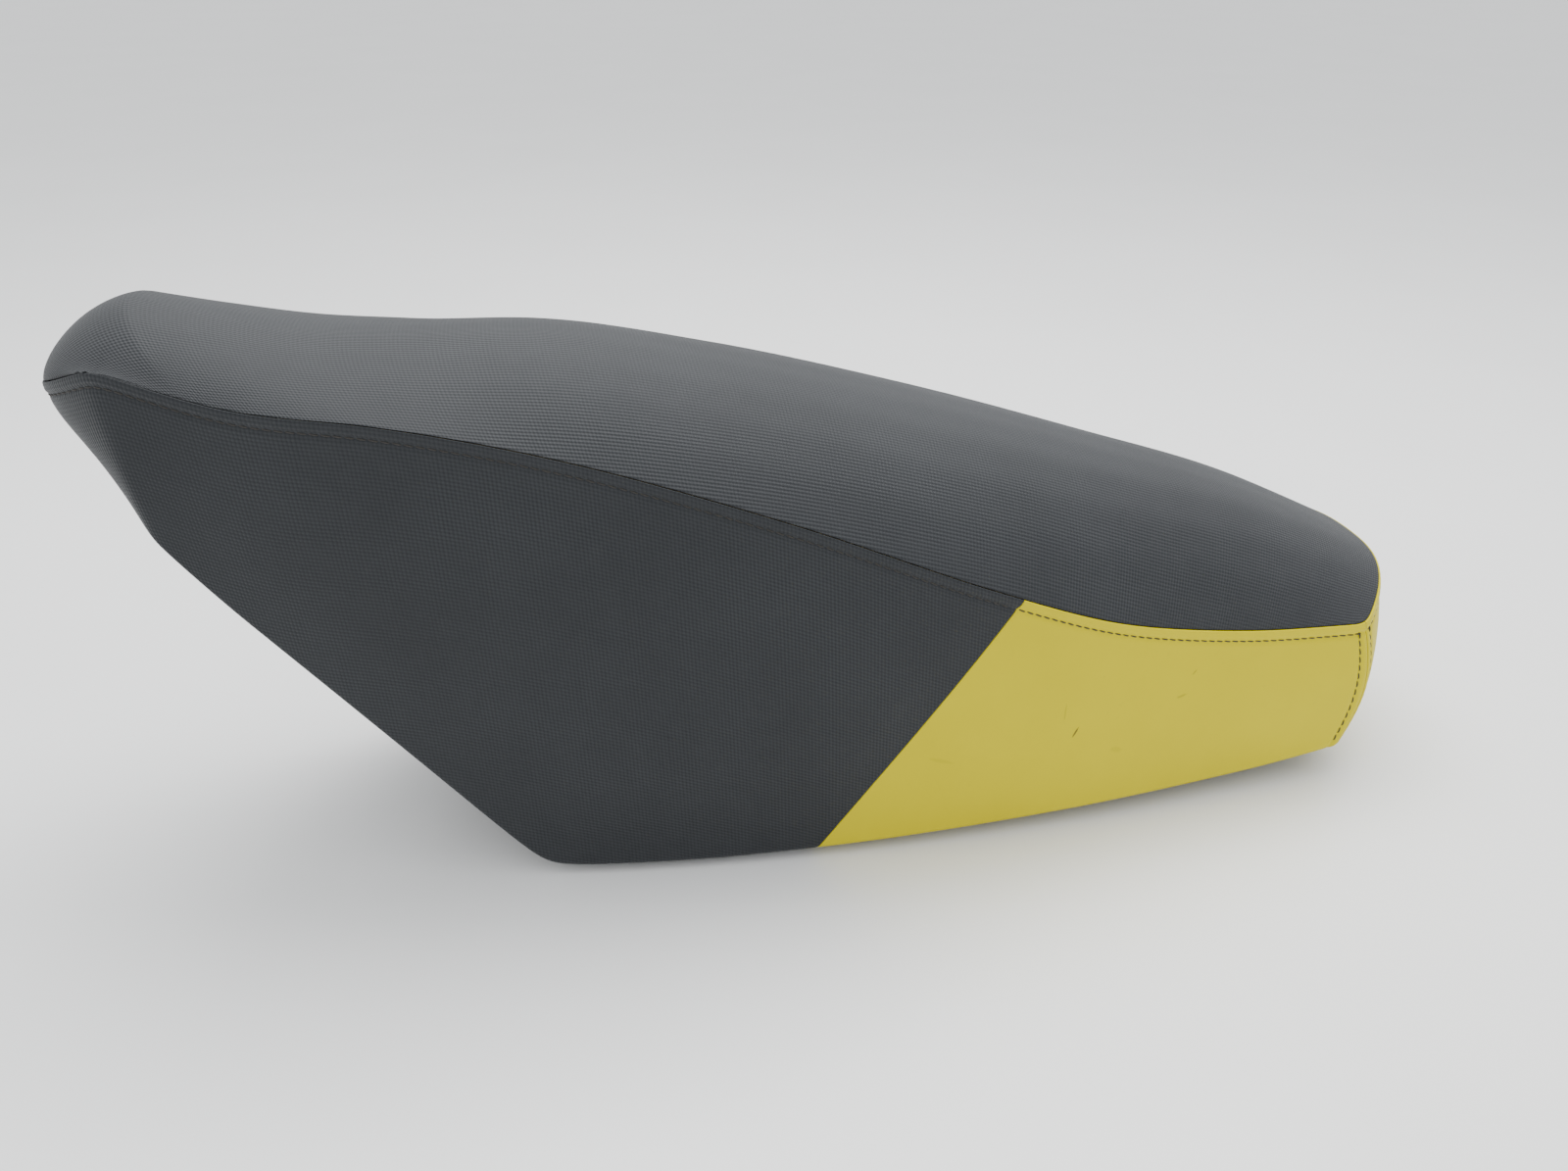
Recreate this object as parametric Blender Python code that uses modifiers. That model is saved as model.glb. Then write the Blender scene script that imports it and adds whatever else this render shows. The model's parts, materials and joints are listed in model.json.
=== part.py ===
"""Snowmobile seat: a moulded pan, a foam core and a sewn two-colour cover.

The seat points its nose along -X and its tail along +X, with +Z up. The bumper feet
stand on z = 0, and the origin is under the middle of the seat. Stations along the
seat are distances from the nose tip.
"""

import math

import bmesh
import bpy
import numpy as np
from mathutils import Matrix, Vector

# ---- driving dimensions, in metres ----

LENGTH = 0.974
SEAM_REAR = 0.969            # station of the top seam at the middle of the tail
NOSE_CORNER = 0.045          # station where the side seam turns round the nose
REAR_CORNER = 0.917          # station where the side seam turns round the tail
CORNER_POWER = 2.4           # roundness of nose and tail, seen from above

NOSE_PEAK = 0.060            # station where the nose roll meets the saddle
NOSE_SEAM_HEIGHT = 0.356     # top seam at the middle of the nose
NOSE_PEAK_HEIGHT = 0.404
NOSE_ROLL_POWER = 1.6

# (station, value) pairs; the curves between them are smooth
SEAM_HALF_WIDTH = [
    (0.045, 0.072), (0.135, 0.101), (0.325, 0.120), (0.465, 0.140),
    (0.605, 0.149), (0.765, 0.133), (0.917, 0.115),
]
SEAM_HEIGHT = [
    (0.045, 0.379), (0.115, 0.359), (0.205, 0.346), (0.325, 0.315), (0.465, 0.268),
    (0.605, 0.209), (0.705, 0.169), (0.805, 0.146), (0.917, 0.132),
]
SADDLE_HEIGHT = [
    (NOSE_PEAK, NOSE_PEAK_HEIGHT), (0.105, 0.391), (0.155, 0.377), (0.215, 0.371),
    (0.315, 0.367), (0.435, 0.341), (0.585, 0.298), (0.735, 0.249), (0.865, 0.203),
    (0.969, 0.154),
]
SHOULDER_POWER = [(0.0, 1.8), (0.49, 2.5), (0.917, 3.3)]
EDGE_HALF_WIDTH = [
    (0.045, 0.083), (0.185, 0.107), (0.320, 0.132), (0.485, 0.146),
    (0.665, 0.145), (0.909, 0.123),
]

# the lower edge: a ramp that rests against the tank, a rounded toe and a low floor
EDGE_NOSE = 0.033            # station of the lower edge at the middle of the nose
EDGE_NOSE_CORNER = 0.063
EDGE_REAR_CORNER = 0.909
EDGE_TAIL = 0.938
TOE = 0.280
RAMP_SLOPE = 1.17
RAMP_FOOT_HEIGHT = 0.010
TOE_BLEND = 0.012
FLOOR_HEIGHT = 0.006
FLOOR_START = 0.389          # behind this station the floor rises towards the tail
FLOOR_RUN = 0.520
FLOOR_RISE = 0.014
FLOOR_POWER = 1.3
STEEP_START = 0.114          # ahead of this station the ramp gets steeper
STEEP_RUN = 0.070
STEEP_RISE = 0.010
KICK_START = 0.819
KICK_RUN = 0.090
KICK_RISE = 0.004

SPLIT_TOP = 0.621            # where the dark and the yellow side panels meet
SPLIT_BOTTOM = 0.478

SEAT_CENTRE = (0.0, 0.0, 0.15)

SIDE_BULGE = 0.003
NOSE_BULGE = 0.012
NOSE_CORNER_BULGE = 0.002
TAIL_BULGE = 0.0178
TAIL_CORNER_BULGE = 0.012
CORNER_RUN = 0.030            # the corner bulges fade along the sides over this length

VINYL = 0.0012
FILM = 0.0005
PANEL_GAP = 0.0032           # each panel stops this far from its seam
NOSE_GAP = 0.00006           # the same at the nose, where the top panel is upright
FIT_GAP = 0.0003             # between two pieces that touch
FILM_DEPTH = 0.0019
FOAM_TOP_GAP = 0.0080         # the foam is drawn in this far from the cover
FOAM_FULL_DROP = 0.12        # below this height the drop tapers off
FOAM_SIDE_GAP = 0.0040
FOAM_END_GAP = 0.0050
HEM = 0.010                  # the cover turns this far under the edge
NOSE_MIDDLE = 0.025          # v beside the short seam in the middle of the nose

PAN_INSET = 0.0032
PAN_LIP_DEPTH = 0.0030       # lip's lower rim, inside the lower edge
PAN_TOP_DEPTH = 0.0180       # pan's upper face, inside the lower edge
PAN_THICKNESS = 0.0030
PAN_CORNER = 0.004
PAN_UNDER_DEPTH = PAN_TOP_DEPTH - PAN_THICKNESS

CHANNEL_DEPTH = 0.005
CHANNEL_START = 0.200
CHANNEL_END = 0.800
CHANNEL_RAMP = 0.030
DRAIN_RADIUS = 0.005
DRAIN_STATIONS = (0.230, 0.420, 0.580, 0.740)
FOAM_LIFT = 0.0005           # foam's underside, above the pan

BUMPER_RADIUS = 0.015
BUMPER_RIM = 0.004           # height of the bumper's widest part
BUMPER_SHOULDER = 0.0129     # radius at the top of the sole's rounding
SOLE_RADIUS = 0.0114
SOLE_ROUND = 0.0015
BUMPER_GAP = 0.0009
STEM_RADIUS = 0.005
BARB_RADIUS = 0.008
BARB_TIP_RADIUS = 0.0048
BARB_BOTTOM = 0.0040
BARB_TOP = 0.0080
POCKET_GAP = 0.002
BUMPER_STATIONS = (0.345, 0.770)
BUMPER_OFFSET = 0.092
TONGUE_STATION = 0.165
TONGUE_OFFSET = 0.045
TONGUE_HALF_WIDTH = 0.014
TONGUE_THICKNESS = 0.0025
TONGUE_STEP = 0.016          # the tip lies this far below the strap
STRAP_BACK = 0.025
STRAP_BEND = -0.030
TIP_BEND = -0.035
TIP_END = -0.064
RIVET_PLACES = (-0.018, 0.014)
RIVET_RADIUS = 0.0022
RIVET_TAIL = [(0.0, 0.0022), (0.0030, 0.0018), (0.0040, 0.0)]      # above the pan
RIVET_HEAD = [(0.0048, 0.0), (0.0042, 0.0014), (0.0024, 0.0023), (0.0, 0.0025)]
RIVET_POCKET = 0.006         # radius and height of the room for its tail in the foam
RIVET_POCKET_TOP = 0.007
SHEET_GAP = 0.0004           # between the pan and the steel under it

# the tail latch, in its own frame on the pan's underside
LATCH_STATION = 0.872
HAT_FLANGE = 0.036
HAT_INNER = 0.0165
HAT_DROP = 0.0156
HAT_THICKNESS = 0.002
HAT_HALF_LENGTH = 0.037
SCREW_X = 0.026
SCREW_Y = 0.0275
SCREW_RADIUS = 0.0024
SCREW_END = 0.0075
SCREW_HEAD = [(0.0048, 0.0), (0.0046, 0.0020), (0.0030, 0.0030), (0.0, 0.0032)]
TEE_BARREL = 0.0036
TEE_FLANGE = 0.0090
TEE_THICKNESS = 0.0012
TEE_POCKET = 0.0105          # radius of the room for a tee nut in the foam
WEB_TOP = -SHEET_GAP - HAT_DROP
WEB_BOTTOM = WEB_TOP - HAT_THICKNESS
HOOK_TOP = WEB_BOTTOM - FIT_GAP
HOOK_THICKNESS = 0.003
HOOK_BOTTOM = HOOK_TOP - HOOK_THICKNESS
STUD_PLACE = 0.026           # the machine's stud stands this far ahead of the pivot
STUD_HOLE = 0.0085
NOTCH_HALF_WIDTH = 0.0045
FINGER_RADIUS = 0.036
EYE_RADIUS = 0.013
LEVER_HALF_WIDTH = 0.007
LEVER_LENGTH = 0.092
PIVOT_RADIUS = 0.004
PIVOT_HOLE = 0.0043
SPRING_WIRE = 0.00075
SPRING_RADIUS = 0.0066
SPRING_TURNS = 2.375
SPRING_STEPS = 38            # points along the coils
SPRING_ROOM = 0.0064         # height between the hook and the pivot's head
WIRE_GAP = 0.0002
LEG_REACH = 0.046            # the long leg follows the lever this far
LEG_BEND = 0.002
LEG_RISE = 0.004             # the short leg ends this far above the web
HEAD_TOP = HOOK_BOTTOM - SPRING_ROOM
HEAD_BOTTOM = HEAD_TOP - 0.0024
HEAD_RADIUS = 0.009
BOLT_CHAMFER = 0.0006
BOLT_END = WEB_TOP + 0.0065
NUT_RADIUS = 0.0075
NUT_HEIGHT = 0.005
GRIP_START = 0.060
GRIP_END = 0.0945
GRIP_HALF_WIDTH = 0.0105
GRIP_HALF_HEIGHT = 0.0048
GRIP_ROUND = 0.0022

COLOURS = {
    "dark_vinyl": (0.048, 0.053, 0.058),
    "yellow_vinyl": (0.62, 0.53, 0.085),
    "foam": (0.72, 0.60, 0.33),
    "film": (0.75, 0.78, 0.80),
    "pan": (0.018, 0.018, 0.019),
    "rubber": (0.020, 0.020, 0.020),
    "steel": (0.55, 0.56, 0.57),
    "zinc": (0.60, 0.58, 0.50),
    "grip": (0.025, 0.025, 0.027),
}
METALS = ("steel", "zinc")


# ---- scene helpers ----

def clear_scene():
    for item in list(bpy.data.objects):
        bpy.data.objects.remove(item, do_unlink=True)


def make_collection(name):
    group = bpy.data.collections.new(name)
    bpy.context.scene.collection.children.link(group)
    return group


def material(name):
    found = bpy.data.materials.get(name)
    if found:
        return found
    made = bpy.data.materials.new(name)
    made.use_nodes = True
    shader = made.node_tree.nodes["Principled BSDF"]
    shader.inputs["Base Color"].default_value = (*COLOURS[name], 1.0)
    shader.inputs["Metallic"].default_value = 1.0 if name in METALS else 0.0
    shader.inputs["Roughness"].default_value = 0.35 if name in METALS else 0.55
    return made


def add_object(name, mesh, finish, group, parent=None, smooth=True):
    item = bpy.data.objects.new(name, mesh)
    group.objects.link(item)
    if finish:
        mesh.materials.append(material(finish))
    if parent:
        item.parent = parent
    if smooth:
        mesh.shade_smooth()
        mesh.set_sharp_from_angle(angle=math.radians(35))
    return item


def mesh_from(name, points, faces):
    mesh = bpy.data.meshes.new(name)
    mesh.from_pydata([tuple(point) for point in points], [], faces)
    build = bmesh.new()
    build.from_mesh(mesh)
    bmesh.ops.remove_doubles(build, verts=build.verts, dist=1e-6)
    bmesh.ops.dissolve_degenerate(build, edges=build.edges, dist=1e-6)
    bmesh.ops.recalc_face_normals(build, faces=build.faces)
    build.to_mesh(mesh)
    build.free()
    return mesh


def grid_mesh(name, rows):
    """A sheet of quads through equally long rows of points."""
    width = len(rows[0])
    points = [point for row in rows for point in row]
    faces = []
    for i in range(len(rows) - 1):
        for j in range(width - 1):
            a = i * width + j
            faces.append((a, a + 1, a + width + 1, a + width))
    return mesh_from(name, points, faces)


def face_outward(mesh, centre):
    """Turns an open sheet so that its normals point away from a centre."""
    build = bmesh.new()
    build.from_mesh(mesh)
    score = 0.0
    for face in build.faces:
        away = face.calc_center_median() - Vector(centre)
        score += face.normal.dot(away) * face.calc_area()
    if score < 0:
        bmesh.ops.reverse_faces(build, faces=build.faces)
    build.to_mesh(mesh)
    build.free()


def solidify(item, thickness):
    thick = item.modifiers.new("thickness", "SOLIDIFY")
    thick.thickness = thickness
    thick.offset = -1.0
    thick.use_even_offset = True
    thick.use_quality_normals = True


def cut(item, cutter):
    boolean = item.modifiers.new("cut", "BOOLEAN")
    boolean.operation = "DIFFERENCE"
    boolean.solver = "EXACT"
    boolean.object = cutter


def mark_cutter(item):
    item.hide_render = True
    item.display_type = "WIRE"


# ---- the seat's surface ----

def smooth_curve(stations, at):
    """Cubic curve through (station, value) pairs, with averaged slopes at each."""
    known = np.array(stations, float)
    x, y = known[:, 0], known[:, 1]
    step = np.diff(x)
    rise = np.diff(y) / step
    slope = np.concatenate([rise[:1], np.zeros(len(x) - 2), rise[-1:]])
    slope[1:-1] = (step[1:] * rise[:-1] + step[:-1] * rise[1:]) / (step[1:] + step[:-1])
    at = float(np.clip(at, x[0], x[-1]))
    i = int(np.clip(np.searchsorted(x, at) - 1, 0, len(step) - 1))
    t = (at - x[i]) / step[i]
    value = (2 * t**3 - 3 * t**2 + 1) * y[i] + (3 * t**2 - 2 * t**3) * y[i + 1]
    bend = (t**3 - 2 * t**2 + t) * slope[i] + (t**3 - t**2) * slope[i + 1]
    return float(value + bend * step[i])


def along(station):
    return station - LENGTH / 2


def crown_height(station):
    """Height of the seat's middle line: a round nose roll, then the saddle."""
    if station >= NOSE_PEAK:
        return smooth_curve(SADDLE_HEIGHT, station)
    reach = (NOSE_PEAK - station) / NOSE_PEAK
    rise = NOSE_PEAK_HEIGHT - NOSE_SEAM_HEIGHT
    power = NOSE_ROLL_POWER
    return NOSE_SEAM_HEIGHT + rise * max(0.0, 1 - reach**power) ** (1 / power)


def top_point(u, v):
    """Top panel: u from nose (0) to tail (1), v from the -Y seam (-1) to the +Y seam (1)."""
    lean = abs(v) ** CORNER_POWER
    start = NOSE_CORNER * lean
    end = SEAM_REAR - (SEAM_REAR - REAR_CORNER) * lean
    side = NOSE_CORNER + (REAR_CORNER - NOSE_CORNER) * u
    seam = smooth_curve(SEAM_HEIGHT, side)
    power = smooth_curve(SHOULDER_POWER, side)
    crown = crown_height(SEAM_REAR * u)
    return Vector((
        along(start + (end - start) * u),
        v * smooth_curve(SEAM_HALF_WIDTH, side),
        seam + (crown - seam) * (1 - abs(v) ** power),
    ))


def base_height(station):
    """Height of the base surface: the ramp, the rounded toe and the rising floor."""
    rear = max(0.0, (station - FLOOR_START) / FLOOR_RUN)
    floor = FLOOR_HEIGHT + FLOOR_RISE * rear**FLOOR_POWER
    steeper = max(0.0, (STEEP_START - station) / STEEP_RUN)
    ramp = RAMP_FOOT_HEIGHT + RAMP_SLOPE * (TOE - station) + STEEP_RISE * steeper**2
    rise = ramp - floor
    return floor + 0.5 * (rise + math.sqrt(rise**2 + TOE_BLEND**2))


def edge_kick(station):
    """The cover's lower edge turns up from the base surface near the tail."""
    return KICK_RISE * max(0.0, (station - KICK_START) / KICK_RUN) ** 2


def base_tilt(station):
    """Angle of the base surface below the horizontal, towards the tail."""
    step = 1e-4
    drop = base_height(station - step) - base_height(station + step)
    return math.atan2(drop, 2 * step)


def inside(station, y, depth):
    """A point at a depth inside the base surface."""
    tilt = base_tilt(station)
    x = along(station) + depth * math.sin(tilt)
    return Vector((x, y, base_height(station) + depth * math.cos(tilt)))


def frame_on_pan(station, y):
    """Place on the pan's underside: +X down the seat, +Z into the pan."""
    turn = Matrix.Rotation(base_tilt(station), 4, "Y")
    return Matrix.Translation(inside(station, y, PAN_UNDER_DEPTH)) @ turn


def edge_plan(u, v):
    """Station and half-width of the lower edge under a point on the top seam."""
    lean = abs(v) ** CORNER_POWER
    if u == 0:
        station = EDGE_NOSE + (EDGE_NOSE_CORNER - EDGE_NOSE) * lean
    elif u == 1:
        station = EDGE_TAIL - (EDGE_TAIL - EDGE_REAR_CORNER) * lean
    else:
        station = EDGE_NOSE_CORNER + (EDGE_REAR_CORNER - EDGE_NOSE_CORNER) * u
    return station, v * smooth_curve(EDGE_HALF_WIDTH, station)


def bulge(u, v):
    """Push at a wall's mid-height, at a point on the top seam."""
    if u == 0:
        x = -NOSE_CORNER_BULGE - (NOSE_BULGE - NOSE_CORNER_BULGE) * (1 - abs(v))
    elif u == 1:
        x = TAIL_CORNER_BULGE + (TAIL_BULGE - TAIL_CORNER_BULGE) * (1 - v**2)
    else:
        run = (REAR_CORNER - NOSE_CORNER) / CORNER_RUN
        x = TAIL_CORNER_BULGE * math.exp(-(1 - u) * run) - NOSE_CORNER_BULGE * math.exp(-u * run)
    turn = math.copysign(1, v) if 0 < u < 1 else v * abs(v) ** 2
    return Vector((x, SIDE_BULGE * turn, 0))


def wall_point(u, v, t):
    """Side wall under (u, v) on the top seam: t from the seam (0) to the lower edge (1)."""
    seam = top_point(u, v)
    station, y = edge_plan(u, v)
    edge = inside(station, y, edge_kick(station))
    return seam.lerp(edge, t) + bulge(u, v) * math.sin(math.pi * t)


def hem_point(u, v, reach):
    """The cover's hem: it lies under the pan's lip, a distance in from the edge."""
    station, y = edge_plan(u, v)
    if 0 < u < 1:
        y -= math.copysign(reach, y)
    else:
        width = smooth_curve(EDGE_HALF_WIDTH, station)
        y *= (width - reach) / width
    half_run = (EDGE_TAIL - EDGE_NOSE) / 2
    toward_middle = (EDGE_NOSE + half_run - station) / half_run
    station += reach * math.cos(base_tilt(station)) * toward_middle
    return inside(station, y, edge_kick(station))


ROLL_STEPS = 5
STEP_ALONG = 0.036
STEP_AT_TOE = 0.013
TOE_REACH = 0.045            # the toe's rounding ends this far from it
TOE_END = 0.36               # share of the length where it has ended
HALF_ACROSS = 6
WALL_STEPS = 4
SPLIT_ROUNDS = 8               # passes that settle the diagonal seam onto its line
SPLIT_STEPS = 5              # from the end of the toe's rounding to the diagonal seam
REAR_STEPS = 12


def evenly(start, end, step):
    count = max(1, round((end - start) / step))
    return [start + (end - start) * i / count for i in range(count)]


def stations_along():
    """u values, closer together over the nose roll and beside the toe."""
    turn = math.pi / 2 / ROLL_STEPS
    stations = [NOSE_PEAK * (1 - math.cos(turn * i)) for i in range(ROLL_STEPS)]
    stations += evenly(NOSE_PEAK, TOE - TOE_REACH, STEP_ALONG)
    stations += evenly(TOE - TOE_REACH, TOE + TOE_REACH, STEP_AT_TOE)
    stations += evenly(TOE + TOE_REACH, SEAM_REAR, STEP_ALONG)
    return [station / SEAM_REAR for station in stations] + [1.0]


def stations_across():
    """v values, closer together towards the seams, where the shoulders fall away."""
    half = [math.sin(math.pi / 2 * i / HALF_ACROSS) for i in range(HALF_ACROSS + 1)]
    return [-v for v in reversed(half[1:])] + half


def perimeter():
    """(u, v) once round the top seam, from the middle of the nose by way of -Y."""
    across = stations_across()
    middle = len(across) // 2
    down = across[middle::-1]
    length = stations_along()[1:-1]
    loop = [(0.0, v) for v in down]
    loop += [(u, -1.0) for u in length]
    loop += [(1.0, v) for v in across]
    loop += [(u, 1.0) for u in reversed(length)]
    loop += [(0.0, v) for v in across[:middle:-1]]
    return loop


# ---- cover ----

def cover_panel(name, rows, finish, group):
    mesh = grid_mesh(name, rows)
    face_outward(mesh, SEAT_CENTRE)
    panel = add_object(name, mesh, finish, group)
    solidify(panel, VINYL)
    return panel


def cover_top(group):
    margin = 1 - PANEL_GAP / SEAM_HALF_WIDTH[0][1]
    nose = NOSE_GAP / SEAM_REAR
    tail = 1 - PANEL_GAP / SEAM_REAR
    rows = []
    for u in stations_along():
        u = min(max(u, nose), tail)
        rows.append([top_point(u, v * margin) for v in stations_across()])
    return cover_panel("cover_top", rows, "dark_vinyl", group)


def wall_rows(loop_at):
    """Rows from just under the seam to the hem; loop_at(t) lists (u, v) for one row."""
    rows = []
    for i in range(WALL_STEPS + 1):
        share = i / WALL_STEPS
        row = []
        for u, v in loop_at(share):
            drop = wall_point(u, v, 0) - wall_point(u, v, 1)
            first = PANEL_GAP / drop.length
            row.append(wall_point(u, v, first + (1 - first) * share))
        rows.append(row)
    rows.append([hem_point(u, v, HEM) for u, v in loop_at(1.0)])
    return rows


def split_at(t):
    """u of the diagonal seam between the side panels; seen from the side it is straight."""
    side_length = REAR_CORNER - NOSE_CORNER
    top_height = smooth_curve(SEAM_HEIGHT, SPLIT_TOP)
    drop = top_height - base_height(SPLIT_BOTTOM)
    u = (SPLIT_TOP + (SPLIT_BOTTOM - SPLIT_TOP) * t - NOSE_CORNER) / side_length
    for _ in range(SPLIT_ROUNDS):
        point = wall_point(u, -1, t)
        share = (top_height - point.z) / drop
        station = SPLIT_TOP + (SPLIT_BOTTOM - SPLIT_TOP) * share
        u += (station - LENGTH / 2 - point.x) / side_length
    return u


def cover_side(name, side, group):
    """Dark side panel: from the middle of the nose to the diagonal seam."""
    gap = PANEL_GAP / LENGTH
    middle = HALF_ACROSS + 1
    nose = [(0.0, side * v) for v in [NOSE_MIDDLE] + stations_across()[middle:]]
    ramp = [(u, side) for u in stations_along()[1:] if u < TOE_END]
    last = ramp[-1][0]

    def loop_at(t):
        reach = split_at(t) - gap - last
        back = [(last + reach * i / SPLIT_STEPS, side) for i in range(1, SPLIT_STEPS + 1)]
        return nose + ramp + back

    return cover_panel(name, wall_rows(loop_at), "dark_vinyl", group)


def cover_rear_side(name, side, group):
    """Yellow side panel: from the diagonal seam to the rear corner seam."""
    gap = PANEL_GAP / LENGTH

    def loop_at(t):
        start = split_at(t) + gap
        run = 1 - gap - start
        return [(start + run * i / REAR_STEPS, side) for i in range(REAR_STEPS + 1)]

    return cover_panel(name, wall_rows(loop_at), "yellow_vinyl", group)


def cover_rear(group):
    """Yellow rear panel: across the tail between the corner seams."""
    margin = 1 - PANEL_GAP / SEAM_HALF_WIDTH[-1][1]

    def loop_at(t):
        return [(1.0, v * margin) for v in stations_across()]

    return cover_panel("cover_rear", wall_rows(loop_at), "yellow_vinyl", group)


# ---- foam and film ----

def offset_inward(mesh, depth):
    """Moves every point of a closed or open sheet inward by an even depth."""
    build = bmesh.new()
    build.from_mesh(mesh)
    build.normal_update()
    moves = [(point, point.normal * depth * point.calc_shell_factor()) for point in build.verts]
    for point, move in moves:
        point.co -= move
    build.to_mesh(mesh)
    build.free()


def body_mesh(name):
    """The seat's whole outer surface, closed across the lower edge."""
    loop = perimeter()
    across = stations_across()
    length = stations_along()
    points = [top_point(u, v) for u in length for v in across]
    width = len(across)
    faces = []
    for i in range(len(length) - 1):
        for j in range(width - 1):
            a = i * width + j
            faces.append((a, a + 1, a + width + 1, a + width))
    size = len(loop)
    base = len(points)
    for row in range(WALL_STEPS + 1):
        points += [wall_point(u, v, row / WALL_STEPS) for u, v in loop]
    for row in range(WALL_STEPS):
        for k in range(size):
            a = base + row * size + k
            b = base + row * size + (k + 1) % size
            faces.append((a, b, b + size, a + size))
    low = base + WALL_STEPS * size
    for k in range(size // 2):
        a, b = low + k, low + k + 1
        c, d = low + (size - k - 1) % size, low + (size - k) % size
        faces.append((a, b, c, d) if k else (a, b, c))
    faces[-1] = faces[-1][:3]
    return mesh_from(name, points, faces)


def foam_core(group, pan_space, pockets):
    """The seat's shape drawn in on every side, with the pan's space cut away."""
    mesh = body_mesh("foam_core")
    face_outward(mesh, SEAT_CENTRE)
    narrower = 1 - FOAM_SIDE_GAP / SEAM_HALF_WIDTH[0][1]
    shorter = 1 - 2 * FOAM_END_GAP / LENGTH
    for point in mesh.vertices:
        x, y, z = point.co
        drop = FOAM_TOP_GAP * min(1.0, z / FOAM_FULL_DROP)
        point.co = (x * shorter, y * narrower, z - drop)
    foam = add_object("foam_core", mesh, "foam", group)
    cut(foam, pan_space)
    cut(foam, pockets)
    return foam


def moisture_barrier(group):
    """Thin film over the foam's crown, just under the cover."""
    margin = 1 - PANEL_GAP / SEAM_HALF_WIDTH[0][1]
    rows = []
    for u in stations_along()[1:-1]:
        rows.append([top_point(u, v * margin) for v in stations_across()[1:-1]])
    mesh = grid_mesh("moisture_barrier", rows)
    face_outward(mesh, SEAT_CENTRE)
    offset_inward(mesh, FILM_DEPTH)
    film = add_object("moisture_barrier", mesh, "film", group)
    solidify(film, FILM)
    return film


# ---- pan ----

END_SHARES = (0.25, 0.5, 0.7, 0.85, 0.95, 1.0)
CHANNEL_SHARES = (0.36, 0.46)
FLAT_SHARES = (0.0, 0.31, 0.51)


def pan_outline():
    """(station, half-width) of the pan's rim from nose to tail, inside the cover."""
    outline = [edge_plan(0.0, v) for v in END_SHARES]
    outline += [edge_plan(u, 1.0) for u in stations_along()[1:-1]]
    outline += [edge_plan(1.0, v) for v in reversed(END_SHARES)]
    first, last = outline[0][0], outline[-1][0]
    middle = (first + last) / 2
    scale = 1 - 2 * PAN_INSET / (last - first)
    return [(middle + (s - middle) * scale, half - PAN_INSET) for s, half in outline]


def channel_depth(station, share):
    """Depth of the stiffening channels that run along the pan."""
    if share not in CHANNEL_SHARES:
        return 0.0
    start = (station - CHANNEL_START) / CHANNEL_RAMP
    end = (CHANNEL_END - station) / CHANNEL_RAMP
    return CHANNEL_DEPTH * float(np.clip(min(start, end), 0, 1))


def pan_row(station, half):
    """Half of the pan's section, from the lip's lower rim to the middle."""
    rim = edge_kick(station) + PAN_LIP_DEPTH
    corner = half - PAN_CORNER
    row = [
        inside(station, half, rim),
        inside(station, half, PAN_TOP_DEPTH - PAN_CORNER),
        inside(station, corner, PAN_TOP_DEPTH),
    ]
    for share in sorted(CHANNEL_SHARES + FLAT_SHARES, reverse=True):
        depth = PAN_TOP_DEPTH - channel_depth(station, share)
        row.append(inside(station, corner * share, depth))
    return row


def end_wall(row, station):
    rim = edge_kick(station) + PAN_LIP_DEPTH
    return [inside(station, point.y, rim) for point in row]


def seat_base(group, holes):
    """The pan: a formed plastic tray, upside down, with a lip round its rim."""
    outline = pan_outline()
    rows = []
    for station, half in outline:
        row = pan_row(station, half)
        mirrored = [Vector((p.x, -p.y, p.z)) for p in reversed(row[:-1])]
        rows.append(row + mirrored)
    rows.insert(0, end_wall(rows[0], outline[0][0]))
    rows.append(end_wall(rows[-1], outline[-1][0]))
    mesh = grid_mesh("seat_base", rows)
    face_outward(mesh, (0.0, 0.0, -0.5))
    pan = add_object("seat_base", mesh, "pan", group)
    solidify(pan, PAN_THICKNESS)
    cut(pan, holes)
    return pan


# ---- cutters ----

SPACE_HALF_WIDTH = 0.20
SPACE_DEPTH = 0.08
SPACE_OVERRUN = 0.022        # the cutter runs this far beyond the seat's ends
SPACE_STEPS = 95
HOLE_SEGMENTS = 16
THROUGH_PAN = 0.010
THROUGH_SHEET = 0.004        # cutters reach this far beyond a steel sheet


def pan_space(group):
    """Everything from the pan's upper face outwards: the foam ends above it."""
    top, bottom, wide = PAN_TOP_DEPTH + FOAM_LIFT, -SPACE_DEPTH, SPACE_HALF_WIDTH
    run = LENGTH + 2 * SPACE_OVERRUN
    stations = [run * i / SPACE_STEPS - SPACE_OVERRUN for i in range(SPACE_STEPS + 1)]
    rows = []
    for depth, y in ((top, -wide), (top, wide), (bottom, wide), (bottom, -wide)):
        rows.append([inside(station, y, depth) for station in stations])
    rows.append(rows[0])
    mesh = grid_mesh("pan_space", rows)
    build = bmesh.new()
    build.from_mesh(mesh)
    bmesh.ops.holes_fill(build, edges=[edge for edge in build.edges if edge.is_boundary])
    bmesh.ops.recalc_face_normals(build, faces=build.faces)
    build.to_mesh(mesh)
    build.free()
    cutter = add_object("pan_space", mesh, None, group, smooth=False)
    mark_cutter(cutter)
    return cutter


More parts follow.
